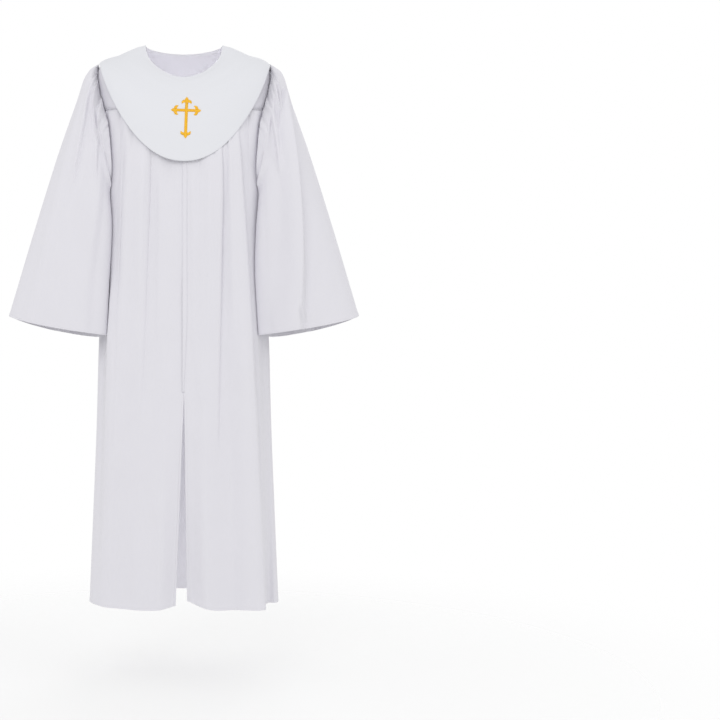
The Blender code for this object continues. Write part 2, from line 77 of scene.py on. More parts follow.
# The columns of a panel bow away from the armhole, which fades from the first of these rings to
# the last. Close to the edge they follow the armhole and then the side seam.
COLUMN_BOW = radians(20)
COLUMN_BOW_RINGS = (3.2, 5.6)
BOW_SHARE, EDGE_SHARE = 2.5, 8
SEAM = 0.0003  # between two pieces at a seam
SEAM_TUCK = 0.0006  # how far the cloth dips into a seam
SEAM_TUCK_WIDTH = 0.004
YOKE_TUCK = 0.0013  # how far the gathered cloth lies under the yoke's edge, and less in front
YOKE_TUCK_FRONT = 0.0004
YOKE_TUCK_HEIGHT = 0.005
YOKE_ROW_SPREAD = 0.9  # under 1, the yoke's rows lie closer towards its seam
HEM_FOLD = 0.0005  # how much a hem is thicker than the cloth
HEM_GROOVE = 0.0006  # how far its stitches pull the cloth in
HEM_GROOVE_WIDTH = 0.0008

SLIT_TOP = -0.80
SLIT_LEFT = 0.0184  # how far each edge stands from the middle at the hem
SLIT_RIGHT = 0.0066
SLIT_TURN = 0.024  # how far the edges turn in at the hem
SLIT_REACH = 0.045  # the width that turns in with them
SLIT_LIFT = {-1: (0.008, 0.060), 1: (0.0186, 0.085)}  # how far each hem corner rises, and over what
SLIT_ROLL = {-1: 0.0022, 1: 0.0006}  # how far each edge rolls forwards
SLIT_ROLL_WIDTH = 0.004

# Folds that hang down the panels. The crest runs from its top to its foot, bowed to one side by
# the bend. It stands out by so much at its top, a quarter of the way down and at its foot. Its
# flanks reach so far towards -X and +X, and its edge rolls over the steeper flank.
FOLDS_FRONT = (
    # x_top, z_top, x_low, z_low, bend, out_top, out_mid, out_low, flank_left, flank_right, roll
    (0.077, -0.20, 0.071, -0.86, 0.000, 0.008, 0.015, 0.004, 0.055, 0.007, 0.006),
    (0.111, -0.16, 0.164, -1.30, 0.005, 0.008, 0.019, 0.032, 0.055, 0.008, 0.010),
    (-0.118, -0.20, -0.146, -0.92, 0.000, 0.007, 0.012, 0.004, 0.014, 0.060, 0.003),
    (-0.086, -0.22, -0.101, -0.80, 0.000, 0.004, 0.007, 0.002, 0.030, 0.016, 0.000),
    (-0.077, -0.22, -0.095, -0.76, 0.000, 0.004, 0.006, 0.002, 0.030, 0.007, 0.003),
    (-0.038, -0.28, -0.045, -1.30, 0.000, 0.002, 0.004, 0.003, 0.030, 0.045, 0.000),
    (0.036, -0.28, 0.055, -1.30, 0.000, 0.002, 0.005, 0.006, 0.030, 0.045, 0.000),
    (-0.155, -0.60, -0.172, -1.30, 0.000, 0.002, 0.006, 0.005, 0.030, 0.024, 0.000),
    (-0.052, -0.27, -0.056, -0.62, 0.000, 0.001, 0.0025, 0.001, 0.010, 0.014, 0.000),
    (-0.016, -0.26, -0.014, -0.60, 0.000, 0.001, 0.0015, 0.001, 0.012, 0.010, 0.000),
    (0.020, -0.26, 0.021, -0.66, 0.000, 0.001, 0.0020, 0.001, 0.010, 0.012, 0.000),
    (0.056, -0.24, 0.054, -0.60, 0.000, 0.001, 0.0022, 0.001, 0.014, 0.012, 0.000),
    (0.100, -0.20, 0.106, -0.62, 0.000, 0.001, 0.0026, 0.001, 0.012, 0.010, 0.000),
    (-0.137, -0.24, -0.146, -0.62, 0.000, 0.001, 0.0032, 0.002, 0.009, 0.012, 0.000),
    (0.118, -0.78, 0.128, -1.30, 0.002, 0.000, 0.0020, 0.003, 0.026, 0.022, 0.000),
    (-0.098, -0.86, -0.104, -1.30, 0.000, 0.000, 0.0020, 0.003, 0.026, 0.026, 0.000),
    (0.172, -0.52, 0.190, -1.30, 0.004, -0.005, -0.014, -0.034, 0.013, 0.024, 0.000),
    (-0.156, -0.50, -0.178, -1.14, 0.000, 0.005, 0.012, 0.004, 0.008, 0.040, 0.004),
    (-0.174, -0.48, -0.194, -1.14, 0.000, -0.014, -0.034, -0.006, 0.022, 0.010, 0.000),
    (-0.030, -0.20, -0.030, -0.36, 0.000, -0.005, -0.006, -0.001, 0.035, 0.040, 0.000),
    (0.094, -0.18, 0.092, -0.32, 0.000, -0.004, -0.005, -0.001, 0.006, 0.006, 0.000),
)
FOLDS_BACK = (
    (0.070, -0.30, 0.068, -0.92, 0.000, 0.006, 0.014, 0.004, 0.008, 0.055, 0.006),
    (-0.092, -0.24, -0.094, -0.56, 0.000, 0.006, 0.010, 0.003, 0.030, 0.012, 0.002),
    (-0.110, -0.50, -0.124, -1.30, 0.000, 0.003, 0.012, 0.010, 0.045, 0.014, 0.003),
    (0.100, -0.20, 0.118, -1.30, 0.000, 0.006, 0.009, 0.008, 0.016, 0.050, 0.000),
    (-0.030, -0.47, -0.034, -1.30, 0.000, 0.004, 0.007, 0.005, 0.040, 0.040, 0.000),
    (0.020, -0.90, 0.024, -1.30, 0.000, 0.002, 0.004, 0.004, 0.035, 0.035, 0.000),
    (0.140, -0.17, 0.150, -0.60, 0.000, 0.006, 0.006, 0.002, 0.010, 0.016, 0.002),
    (-0.056, -0.30, -0.058, -0.62, 0.000, 0.002, 0.0040, 0.001, 0.012, 0.010, 0.000),
    (0.120, -0.16, 0.124, -0.44, 0.000, 0.002, 0.0035, 0.001, 0.009, 0.010, 0.000),
    (-0.124, -0.16, -0.130, -0.42, 0.000, 0.002, 0.0035, 0.001, 0.010, 0.009, 0.000),
    (-0.150, -0.17, -0.158, -0.50, 0.000, 0.002, 0.0040, 0.002, 0.012, 0.010, 0.000),
    (-0.072, -0.76, -0.078, -1.30, 0.000, 0.000, 0.0030, 0.003, 0.028, 0.024, 0.000),
    (0.168, -0.18, 0.172, -0.74, 0.000, 0.006, 0.010, 0.004, 0.030, 0.020, 0.000),
    (-0.168, -0.18, -0.174, -0.74, 0.000, 0.007, 0.011, 0.004, 0.020, 0.030, 0.000),
    (0.132, -0.10, 0.127, -0.34, 0.000, -0.008, -0.011, -0.001, 0.007, 0.006, 0.000),
    (0.062, -0.26, 0.061, -0.44, 0.000, -0.008, -0.012, -0.001, 0.006, 0.009, 0.000),
    (-0.089, -0.16, -0.086, -0.38, 0.000, -0.008, -0.011, -0.001, 0.007, 0.007, 0.000),
    (-0.052, -0.28, -0.050, -0.46, 0.000, -0.008, -0.010, -0.001, 0.007, 0.006, 0.000),
)
FOLD_SPREAD = 0.3  # the share of a fold that goes sideways, at the side line
FOLD_EASE = 0.10  # a fold starts and ends over this height
SIDE_EASE = 0.12  # the share of a panel's width over which its folds fade to the side
# Slow waves that keep the cloth from being perfectly even: across, along, slant and share of the depth.
UNEVEN = ((7.3, 1.1, 0.4, 0.40), (12.7, 2.3, -0.7, 0.30), (19.9, 1.7, 1.3, 0.18), (31.0, 3.9, 0.2, 0.12))

GATHERS_BACK = 14
GATHERS_FRONT = 6
GATHER_DROP = 0.070  # the gathers fade over this height, and rise over the next one
GATHER_START = 0.006
GATHER_FULL = 0.012  # down to here they keep their depth
GATHER_SWELL = 0.3  # how far they stand out more than they dip in
GATHER_FINE = 0.35  # the finer ones between them: their share of the depth and of the height
GATHER_FINE_DROP = 0.4
GATHER_HEIGHTS = (0.45, 0.85)  # the lowest gather, and how much more the highest may have
GATHER_STRAY = 0.36  # how far a valley may stray from its place, in gathers

# Stations along a sleeve: outer edge, inner edge, depth in front and behind.
SLEEVE = (
    # out_x, out_z, in_x, in_z, front, back
    (0.197, -0.044, 0.184, -0.320, 0.080, 0.078),
    (0.226, -0.074, 0.168, -0.345, 0.087, 0.084),
    (0.246, -0.130, 0.157, -0.372, 0.097, 0.090),
    (0.288, -0.249, 0.150, -0.440, 0.103, 0.092),
    (0.344, -0.428, 0.156, -0.545, 0.098, 0.090),
    (0.401, -0.619, 0.182, -0.661, 0.096, 0.086),
)
# How much further out than that each sleeve's inner edge hangs, at each station.
SLEEVE_HANG = {-1: (0, -0.006, 0.002, 0.005, 0.003, -0.024), 1: (0, -0.006, 0.005, 0.004, -0.010, -0.034)}
SLEEVE_HANG_BACK = {-1: (0, 0.009, 0.014, 0.016, 0.014, 0.010), 1: (0, 0.007, 0.010, 0.010, 0.010, 0.014)}
SLEEVE_DRAPE = (0.006, 0.016)  # how far the front falls over the underarm, inwards and forwards
SLEEVE_DRAPE_ENDS = 0.38
SLEEVE_DRAPE_ANGLES = ((70, 40), (190, 35))  # it sets in and ends there, over so many degrees
SLEEVE_SQUARE = 3.6  # how square the sleeve's underside is
SLEEVE_CLEAR = 0.0032  # how far it is kept clear
SLEEVE_EASE = 0.12  # the share of the length over which the armhole turns into the sleeve's oval
SLEEVE_LENGTH = 0.62
SLEEVE_ROW_SPREAD = 1.25  # over 1, the sleeve's rows lie closer towards the armhole
SLEEVE_BESIDE_BODY = -0.08  # from here down the sleeve is kept clear of the body
CUFF_SAG_FRONT = 0.012  # how much lower the cuff hangs in the middle of its front and its back
CUFF_SAG_BACK = 0.014
# Gathers of a sleeve's head: how many in a whole turn, the share of the length over which they
# fade, and their share of the depth. They slant down as they leave the seam, by so many degrees.
SLEEVE_GATHERS = ((43, 0.055, 1.00), (22, 0.12, 0.85), (11, 0.26, 0.60))
SLEEVE_GATHER_SLANT = 110
SLEEVE_GATHER_START = 0.022  # the share of the length over which they rise
SLEEVE_GATHERED = (-0.45, 0.5)  # they set in round the sleeve from this cosine of the turn, over so much
SLEEVE_GATHER_SWELL = 0.4  # how far the gathers stand out more than they dip in
SLEEVE_PUFF_END = 0.11  # the share of the length over which the sleeve's head puffs out
SLEEVE_FOLD_EASE = 0.12  # the share of the length over which a fold starts and ends
SLEEVE_WAVES = (0.7, 0.6)  # metres of slow waves round a sleeve and along it
# Folds of a sleeve: crest's angle at its top and foot, from the sleeve's top to its front, the
# shares of the length where it starts and ends, how far it stands out, and its flanks' angles.
SLEEVE_FOLDS = {
    -1: (
        # top, low, starts, ends, stands, flank_up, flank_down
        (46, 86, 0.06, 0.66, 0.010, 16, 4),
        (46, 222, 0.02, 0.34, 0.009, 10, 4),
        (81, 128, 0.02, 0.52, 0.008, 14, 5),
        (34, 60, 0.30, 1.10, 0.005, 18, 14),
        (110, 112, 0.30, 1.10, 0.006, 24, 12),
        (140, 134, 0.40, 1.10, 0.005, 16, 14),
        (-46, -84, 0.10, 1.10, 0.007, 18, 8),
        (-84, -112, 0.06, 1.10, 0.007, 10, 20),
        (-60, -110, 0.04, 0.40, 0.004, 8, 6),
        (-24, -50, 0.04, 0.46, 0.004, 8, 7),
    ),
    1: (
        (14, 97, 0.22, 1.10, 0.020, 4, 34),
        (76, 104, 0.02, 0.56, 0.009, 12, 4),
        (25, 154, 0.02, 0.40, 0.009, 9, 5),
        (134, 136, 0.30, 1.10, 0.005, 14, 14),
        (52, 96, 0.02, 0.36, 0.006, 7, 5),
        (4, 60, 0.06, 0.50, 0.004, 9, 7),
        (-50, -88, 0.10, 1.10, 0.008, 20, 8),
        (-86, -118, 0.06, 1.10, 0.006, 10, 18),
        (-62, -112, 0.04, 0.40, 0.004, 8, 6),
        (-26, -52, 0.04, 0.46, 0.004, 8, 7),
    ),
}

# The stole collar's edges, seen from the front and from behind.
STOLE_HALF_WIDTH = (0.1915, 0.1950)  # towards -X and +X
STOLE_TOP = -0.043
STOLE_FRONT_DROP = -0.2845
STOLE_FRONT_ROUND = (2.2, 1.1)
STOLE_BACK_ROUND = (1.0, 1.0)
STOLE_TIP = -0.470
STOLE_V_HALF_WIDTH = 0.087
STOLE_V_TIP = -0.158
# How far the stole lies off the body: at the neck, over the shoulders and lower down, and the
# rings where it has left the neck and where it starts and ends to stand off.
STOLE_LAY = 0.0005
STOLE_LIFT = 0.0036
STOLE_LIFT_LOW = 0.0085
STOLE_LIFT_RINGS = (0.4, 1.6, 2.6)
STOLE_EDGE_ROUND = 0.0009  # how far the outer face falls away at its pressed edge
STOLE_EDGE_WIDTH = 0.0026
STOLE_SEAM = 0.0005  # depth of the seam that runs round its neck edge
STOLE_SEAM_AT = 0.0055
STOLE_SEAM_WIDTH = 0.0013

PLACKET_LEFT = 0.0035
PLACKET_RIGHT = 0.0068
PLACKET_TOP = -0.250
PLACKET_END = -0.795
PLACKET_LIFT = (0.0012, 0.0001)  # at the foot of its left edge and of its right one
PLACKET_NARROWS = -0.62  # from here down it narrows to this share of its width
PLACKET_NARROW_SHARE = 0.45
PLACKET_CLOTH = 0.0008

PLACKET_STITCHES = 0.0016  # from its edges

# The cross, measured from where its bars meet.
CROSS_AT = (0.0053, -0.170)
CROSS_TILT = radians(2)
CROSS_ARMS = ((90, 0.0315), (180, 0.034), (270, 0.064), (0, 0.0325))  # turned, length
BAR = 0.0034  # half the width of a bar
# An arm's point and its barbs, as distances back from its end and to the side.
POINT = ((0.0130, 0.0034), (0.0084, 0.0042), (0.0046, 0.0040), (0.0, 0.0006))
BARB = (
    # back_inner, side_inner, back_outer, side_outer
    (0.0132, 0.0030, 0.0062, 0.0036),
    (0.0134, 0.0060, 0.0068, 0.0072),
    (0.0142, 0.0078, 0.0090, 0.0104),
    (0.0154, 0.0090, 0.0126, 0.0115),
    (0.0164, 0.0095, 0.0158, 0.0108),
)

# Painted shade: the cloth's colour is made darker between its threads, where shade falls in the weave.
PAINTED_THREAD_SHADE = 0.02  # how much darker the cloth is between its threads

# How finely each piece is drawn.
ROWS_ARMHOLE = 46
ROWS_BELOW = 106
FRONT_COLUMNS = 236
BACK_COLUMNS = 300
YOKE_COLUMNS = 300
YOKE_ROWS = 22
SLEEVE_ROWS = 82
SLEEVE_COLUMNS = 350
STOLE_COLUMNS = 300
STOLE_ROWS = 56
STOLE_EDGE_ROWS = (0.004, 0.011, 0.022, 0.027, 0.032, 0.040, 0.985, 0.990, 0.995)  # more near its edges
HEM_ROWS = (0.010, 0.0085, 0.007, 0.006, 0.005, 0.004, 0.003, 0.0018, 0.0008, 0.0)  # above the hem's edge


METRES = {"subtype": "DISTANCE", "unit": "LENGTH"}
WATTS = {"subtype": "POWER", "unit": "POWER"}
COLOUR = {"subtype": "COLOR", "size": 4, "min": 0, "max": 1}


class RobeCloth(bpy.types.PropertyGroup):
    robe_colour: FloatVectorProperty(
        name="Robe colour", description="Lilac white of the robe's cloth",
        default=(0.775, 0.765, 0.812, 1), **COLOUR)
    stole_colour: FloatVectorProperty(
        name="Stole colour", description="Cooler white of the stole collar's cloth",
        default=(0.79, 0.797, 0.833, 1), **COLOUR)
    gold_colour: FloatVectorProperty(
        name="Gold colour", description="Colour of the embroidery thread",
        default=(1.0, 0.57, 0.015, 1), **COLOUR)
    thickness: FloatProperty(
        name="Cloth thickness", description="Wall of the robe's cloth", default=0.0012, **METRES)
    stole_thickness: FloatProperty(
        name="Stole thickness", description="Wall of the stole collar's cloth", default=0.0014, **METRES)
    thread: FloatProperty(
        name="Thread pitch", description="Distance from one thread of the weave to the next",
        default=0.00055, **METRES)


class RobeGathers(bpy.types.PropertyGroup):
    body_depth: FloatProperty(
        name="Body gathers", description="How far the gathers under the yoke stand out",
        default=0.0036, **METRES)
    sleeve_depth: FloatProperty(
        name="Sleeve gathers", description="How far the gathers of a sleeve's head stand out",
        default=0.0048, **METRES)
    puff: FloatProperty(
        name="Sleeve puff", description="How far a sleeve's head swells over its seam",
        default=0.001, **METRES)
    uneven: FloatProperty(
        name="Unevenness", description="Depth of the slow waves in all the cloth",
        default=0.0008, **METRES)
    seed: IntProperty(name="Seed", description="Which uneven set of gathers is sewn", default=7)


class RobeStitches(bpy.types.PropertyGroup):
    length: FloatProperty(
        name="Stitch length", description="Length of one machine stitch", default=0.0024, **METRES)
    gap: FloatProperty(
        name="Stitch gap", description="Space between two stitches", default=0.0009, **METRES)
    thread: FloatProperty(
        name="Thread radius", description="Radius of the sewing thread", default=0.00022, **METRES)
    hem: FloatProperty(
        name="Hem depth", description="Distance of the hem's stitches from its edge",
        default=0.0045, **METRES)
    satin: FloatProperty(
        name="Satin pitch", description="Distance between two threads of the cross",
        default=0.00050, **METRES)
    satin_height: FloatProperty(
        name="Satin height", description="How high the cross is padded", default=0.0011, **METRES)


class RobeStudio(bpy.types.PropertyGroup):
    camera_distance: FloatProperty(
        name="Camera distance", description="From the camera to the robe's axis",
        default=3.03, **METRES)
    camera_height: FloatProperty(
        name="Camera height", description="Height of the camera", default=-0.722, **METRES)
    lens: FloatProperty(name="Lens", description="Focal length in millimetres", default=65.9)
    robe_middle: IntProperty(
        name="Robe's middle", description="Pixel column of the robe's middle, in a frame 720 wide",
        subtype="PIXEL", default=184)
    floor: FloatProperty(
        name="Floor height", description="Height of the floor, below the hem",
        default=-1.43, **METRES)
    key: FloatProperty(name="Key light", description="Power of the front light", default=29, **WATTS)
    fill: FloatProperty(
        name="Side lights", description="Power of the right one, and the left one has 0.4 of it",
        default=12, **WATTS)
    back: FloatProperty(name="Back light", description="Power of the light behind the robe",
                        default=27, **WATTS)
    inside: FloatProperty(
        name="Inside lights", description="Power that the small lights in the robe take their shares of",
        default=0.40, **WATTS)
    sky: FloatProperty(name="Sky", description="Strength of the light from all round", default=0.78)


class RobeSettings(bpy.types.PropertyGroup):
    cloth: PointerProperty(type=RobeCloth)
    gathers: PointerProperty(type=RobeGathers)
    stitches: PointerProperty(type=RobeStitches)
    studio: PointerProperty(type=RobeStudio)


# Curves and rings

def smooth(t):
    t = np.clip(t, 0, 1)
    return t * t * (3 - 2 * t)


def curve_at(values, s):
    """A smooth curve through evenly spaced values, read at the places s."""
    values = np.asarray(values, float)
    last = len(values) - 1
    i = np.clip(np.floor(s).astype(int), 0, last - 1)
    t = s - i
    p1, p2 = values[i], values[i + 1]
    p0 = np.where(i > 0, values[np.maximum(i - 1, 0)], 2 * p1 - p2)
    p3 = np.where(i + 2 <= last, values[np.minimum(i + 2, last)], 2 * p2 - p1)
    return 0.5 * (2 * p1 + (p2 - p0) * t + (2 * p0 - 5 * p1 + 4 * p2 - p3) * t**2
                  + (3 * p1 - p0 - 3 * p2 + p3) * t**3)


def ring_radius(s, around):
    """How far the ring's wall is from the axis at an angle from the front."""
    ahead = np.cos(around) > 0
    depth = np.where(ahead, curve_at(FRONT, s), curve_at(BACK, s))
    n = curve_at(SQUARE, s)
    across = np.abs(np.sin(around)) / curve_at(HALF_WIDTH, s)
    return (across**n + (np.abs(np.cos(around)) / depth)**n) ** (-1 / n)


def ring_height(s, around):
    """The ring falls from the shoulder line to the front and to the back."""
    lean = (np.cos(around)**2 + RIDGE**2) ** 0.5 - RIDGE
    lean = np.maximum(lean / ((1 + RIDGE**2) ** 0.5 - RIDGE), 0)
    lean = np.where(np.cos(around) > 0, lean ** (1 - NECK_ROUND * (1 - smooth(s))), lean)
    end = np.where(np.cos(around) > 0, curve_at(Z_FRONT, s), curve_at(Z_BACK, s))
    return curve_at(Z_SIDE, s) * (1 - lean) + end * lean


def bare(s, around):
    """Points of the body without folds, along a last axis of x, y and z."""
    s, around = np.broadcast_arrays(np.asarray(s, float), np.asarray(around, float))
    r = ring_radius(s, around)
    return np.stack((r * np.sin(around), -r * np.cos(around), ring_height(s, around)), axis=-1)


def ring_at(z, heights):
    """The ring that has a height, in a table of heights."""
    return np.interp(-np.asarray(z), [-h for h in heights], range(len(heights)))


def normals_of(points, closed):
    """Outward normals of a grid of points, row by row."""
    along = np.gradient(points, axis=0)
    if closed:
        across = (np.roll(points, -1, axis=1) - np.roll(points, 1, axis=1)) / 2
    else:
        across = np.gradient(points, axis=1)
    n = np.cross(along, across)
    n /= np.maximum(np.linalg.norm(n, axis=-1, keepdims=True), 1e-12)
    return n


# Folds and gathers

def folds_at(x, z, folds):
    """How far the folds stand out at each place, and how far their edges roll aside."""
    out, aside = np.zeros_like(x), np.zeros_like(x)
    for x_top, z_top, x_low, z_low, bend, out_top, out_mid, out_low, left, right, roll in folds:
        along = (z_top - z) / (z_top - z_low)
        bowed = 4 * bend * np.clip(along, 0, 1) * (1 - np.clip(along, 0, 1))
        crest = x_top + (x_low - x_top) * along + bowed
        flank = np.where(x < crest, left, right)
        t = np.clip(np.abs(x - crest) / flank, 0, 1)
        ease = smooth((z_top - z) / FOLD_EASE) * smooth((z - z_low) / FOLD_EASE + 1)
        stands = np.interp(along, (0, 0.25, 1), (out_top, out_mid, out_low))
        out += smooth(1 - t) * ease * stands
        steep = -1 if left < right else 1
        on_steep = np.where(np.sign(x - crest) == steep, 1.0, 0.0)
        share = stands / max(out_top, out_mid, out_low, key=abs)
        aside += steep * roll * on_steep * np.sin(pi * t) * ease * share
    return out, aside


def uneven(x, z, depth):
    """Slow shallow waves, mostly along the cloth's length."""
    return depth * sum(
        share * np.sin(2 * pi * (across * x + along * z) + 5.1 * slant + slant * np.sin(3.7 * z + 9 * x))
        for across, along, slant, share in UNEVEN)


def gather_heights(count, seed):
    """Uneven heights and places for a row of gathers, the same ones for the same seed."""
    random = np.random.default_rng(seed)
    lowest, more = GATHER_HEIGHTS
    return lowest + more * random.random(count + 2), GATHER_STRAY * (random.random(count + 2) - 0.5)


def gather_wave(share, count, seed):
    """Rounded gathers with sharp valleys, from -1 to 1, of uneven height and width."""
    heights, places = gather_heights(count, seed)
    edges = (np.arange(count + 2) + places) / count
    edges[0], edges[-2], edges[-1] = 0, 1, 1 + 1 / count
    phase = np.interp(share, edges, np.arange(count + 2))
    height = np.interp(phase, np.arange(count + 2), heights)
    wave = 2 * np.abs(np.sin(pi * phase)) ** 0.85 - 1
    return wave * height


def yoke_drop(s, around):
    """How far a place is below the yoke's seam."""
    return ring_height(yoke_ring(around), around) - ring_height(s, around)


def gather_out(s, around, share, count, depth, seed):
    """Gathers that start at the yoke's seam and fade below it, the long ones last."""
    below = np.maximum(yoke_drop(s, around), 0)
    start = smooth(below / GATHER_START)
    fade = np.exp(-np.maximum(below - GATHER_FULL, 0) / GATHER_DROP)
    coarse = (gather_wave(share, count, seed) + GATHER_SWELL) * fade
    fine = GATHER_FINE * gather_wave(share, count * 2 + 1, seed + 3)
    return depth * start * (coarse + fine * np.exp(-below / (GATHER_DROP * GATHER_FINE_DROP)))


# Points of the pieces

def panel_rings(first):
    """Rings of a panel's rows: close at the armhole, even below it, and close again at the hem."""
    turns = np.linspace(armhole_turn(first), pi, ROWS_ARMHOLE)
    arm = ARMHOLE_MIDDLE - ARMHOLE_HALF * np.cos(turns)
    drop = abs(Z_FRONT[-1] - Z_FRONT[-2])
    last = HEM - np.array(HEM_ROWS) / drop
    below = np.linspace(UNDERARM, last[0], ROWS_BELOW)[1:-1]
    return np.concatenate((arm, below, last))


def armhole_turn(s):
    """How far round the armhole a ring meets it, from 0 at its top to pi at its foot."""
    return np.arccos(np.clip((ARMHOLE_MIDDLE - s) / ARMHOLE_HALF, -1, 1))


def armhole_reach(turn, front):
    """How far the armhole's edge is from the side line, in front or behind."""
    step = turn / pi * (len(ARMHOLE_FRONT) - 1)
    return np.radians(np.where(front, curve_at(ARMHOLE_FRONT, step), curve_at(ARMHOLE_BACK, step)))


def side_edge(s, front):
    """How far the panel's edge is from the side line: the armhole's edge, then the side seam."""
    return np.where(s >= UNDERARM, 0.0, armhole_reach(armhole_turn(s), front))


def side_shift(s, share, front):
    """How far a column bows towards the panel's middle, at its share of the way to the side."""
    first, last = COLUMN_BOW_RINGS
    bow = COLUMN_BOW * (1 - smooth((s - first) / (last - first)))
    return bow * (share**BOW_SHARE - share**EDGE_SHARE) + side_edge(s, front) * share**EDGE_SHARE


def level_ring(height, around):
    """The ring that has a height at each angle."""
    low, high = np.ones_like(around), np.full_like(around, UNDERARM)
    for _ in range(30):
        middle = (low + high) / 2
        above = ring_height(middle, around) > height
        low, high = np.where(above, middle, low), np.where(above, high, middle)
    return low


def yoke_ring(around):
    """The ring of the yoke's seam, which is level in front and behind."""
    return level_ring(np.where(np.cos(around) > 0, YOKE_FRONT, YOKE_BACK), around)


def under_yoke(top, share):
    """Rings of a panel's rows, the first of them along the yoke's seam, and their shares across."""
    s, share = np.meshgrid(panel_rings(np.max(top)), share, indexing="ij")
    return s + (top - np.max(top)) * np.clip((UNDERARM - s) / (UNDERARM - np.max(top)), 0, 1), share


def slit_edge(z, at_hem):
    open_share = np.maximum(SLIT_TOP - z, 0) / (SLIT_TOP - Z_FRONT[-1])
    return SEAM / 2 + (at_hem - SEAM / 2) * open_share


def hem_relief(above, depth):
    """A doubled hem: thicker from its stitches down, with a groove where they pull the cloth in."""
    thicker = HEM_FOLD * smooth((depth + 0.002 - above) / 0.0012)
    groove = HEM_GROOVE * np.exp(-((above - depth) / HEM_GROOVE_WIDTH)**2)
    return thicker - groove


def seam_tuck(distance):
    return -SEAM_TUCK * (1 - smooth(distance / SEAM_TUCK_WIDTH))


def yoke_tuck(s, around):
    """The gathered edge lies under the yoke's edge."""
    tuck = np.where(np.cos(around) > 0, YOKE_TUCK_FRONT, YOKE_TUCK)
    return -tuck * (1 - smooth(yoke_drop(s, around) / YOKE_TUCK_HEIGHT))


def front_points(side, settings):
    """Outer points of a front panel, from the middle to the side seam."""
    columns = np.linspace(0, 1, FRONT_COLUMNS + 1)
    top = np.full_like(columns, SHOULDER)
    for _ in range(12):
        top = level_ring(YOKE_FRONT, pi / 2 * columns - side_shift(top, columns, True))
    s, share = under_yoke(top, columns)
    at_hem = SLIT_LEFT if side < 0 else SLIT_RIGHT
    z0 = ring_height(s, np.zeros_like(s))
    edge_x = slit_edge(z0, at_hem)
    inner = np.arctan2(edge_x, curve_at(FRONT, s))
    seam = SEAM / 2 / ring_radius(s, np.full_like(s, pi / 2))
    around = inner + (pi / 2 - inner) * share - side_shift(s, share, True) - seam * share
    x, y, z = np.moveaxis(bare(s, around), -1, 0)
    fold, aside = folds_at(side * x, z, FOLDS_FRONT)
    gathers = settings.gathers
    across = (around - inner) / (pi / 2 - inner)
    fold = fold + gather_out(s, around, across, GATHERS_FRONT, gathers.body_depth, gathers.seed + side)
    fold = fold + uneven(side * x, z, gathers.uneven)
    side_ease = smooth((1 - share) / SIDE_EASE)
    opened = smooth((SLIT_TOP - z) / (SLIT_TOP - Z_FRONT[-1]))
    near = smooth(1 - (x - edge_x) / SLIT_REACH)
    rolled = SLIT_ROLL[side] * smooth(opened * 8) * np.exp(-((x - edge_x) / SLIT_ROLL_WIDTH)**2)
    out = fold * side_ease - SLIT_TURN * opened * near + rolled
    rise, rise_reach = SLIT_LIFT[side]
    lift = rise * opened * np.clip(1 - (x - edge_x) / rise_reach, 0, 1)**2
    z = z + lift
    tucked = np.where(s < UNDERARM, seam_tuck(x.max(axis=1, keepdims=True) - x), 0)
    hem = settings.stitches.hem
    slit_relief = hem_relief(x - edge_x, hem) * smooth((SLIT_TOP + 0.03 - z) / 0.03)
    level = yoke_tuck(s, around) + tucked + hem_relief(z - Z_FRONT[-1] - lift, hem) + slit_relief
    x = side * (x + np.maximum(out, 0) * FOLD_SPREAD * np.sin(around)) + aside * side_ease
    x = x + side * level * np.sin(around)
    y = y - out - level * np.cos(around)
    return np.stack((x, y, z), axis=-1)


def back_points(settings):
    """Outer points of the back panel, from the -X side seam to the +X one."""
    columns = np.linspace(0, 1, BACK_COLUMNS + 1)
    middle = 1 - 2 * columns
    top = np.full_like(columns, SHOULDER)
    for _ in range(12):
        shift = np.sign(middle) * side_shift(top, np.abs(middle), False)
        top = level_ring(YOKE_BACK, pi / 2 + pi * columns + shift)
    s, share = under_yoke(top, columns)
    middle = 1 - 2 * share
    seam = SEAM / 2 / ring_radius(s, np.full_like(s, pi / 2))
    shift = np.sign(middle) * side_shift(s, np.abs(middle), False) + seam * middle
    around = pi / 2 + pi * share + shift
    x, y, z = np.moveaxis(bare(s, around), -1, 0)
    x = -x
    gathers = settings.gathers
    out, aside = folds_at(x, z, FOLDS_BACK)
    across = (around - pi / 2) / pi
    out = out + gather_out(s, around, across, GATHERS_BACK, gathers.body_depth, gathers.seed + 20)
    out = out + uneven(x + 0.31, z, gathers.uneven)
    ease = smooth(2 * np.minimum(share, 1 - share) / SIDE_EASE)
    out = out * ease
    to_edge = np.minimum(x - x.min(axis=1, keepdims=True), x.max(axis=1, keepdims=True) - x)
    tucked = np.where(s < UNDERARM, seam_tuck(to_edge), 0)
    level = yoke_tuck(s, around) + tucked + hem_relief(z - Z_BACK[-1], settings.stitches.hem)
    x = x - (out * FOLD_SPREAD + level) * np.sin(around) + aside * ease
    y = y + out - level * np.cos(around)
    return np.stack((x, y, z), axis=-1)


def yoke_end(around):
    """The ring where the yoke ends: its seam, or the armhole's edge."""
    from_side = np.abs(np.where(around < pi, around - pi / 2, around - 3 * pi / 2))
    front = np.cos(around) > 0
    seam = yoke_ring(around)
    low, high = np.zeros_like(around), armhole_turn(seam)
    for _ in range(30):
        middle = (low + high) / 2
        wider = armhole_reach(middle, front) > from_side
        low, high = np.where(wider, low, middle), np.where(wider, middle, high)
    edge = ARMHOLE_MIDDLE - ARMHOLE_HALF * np.cos(low)
    return np.where(from_side >= side_edge(seam, front), seam, edge)


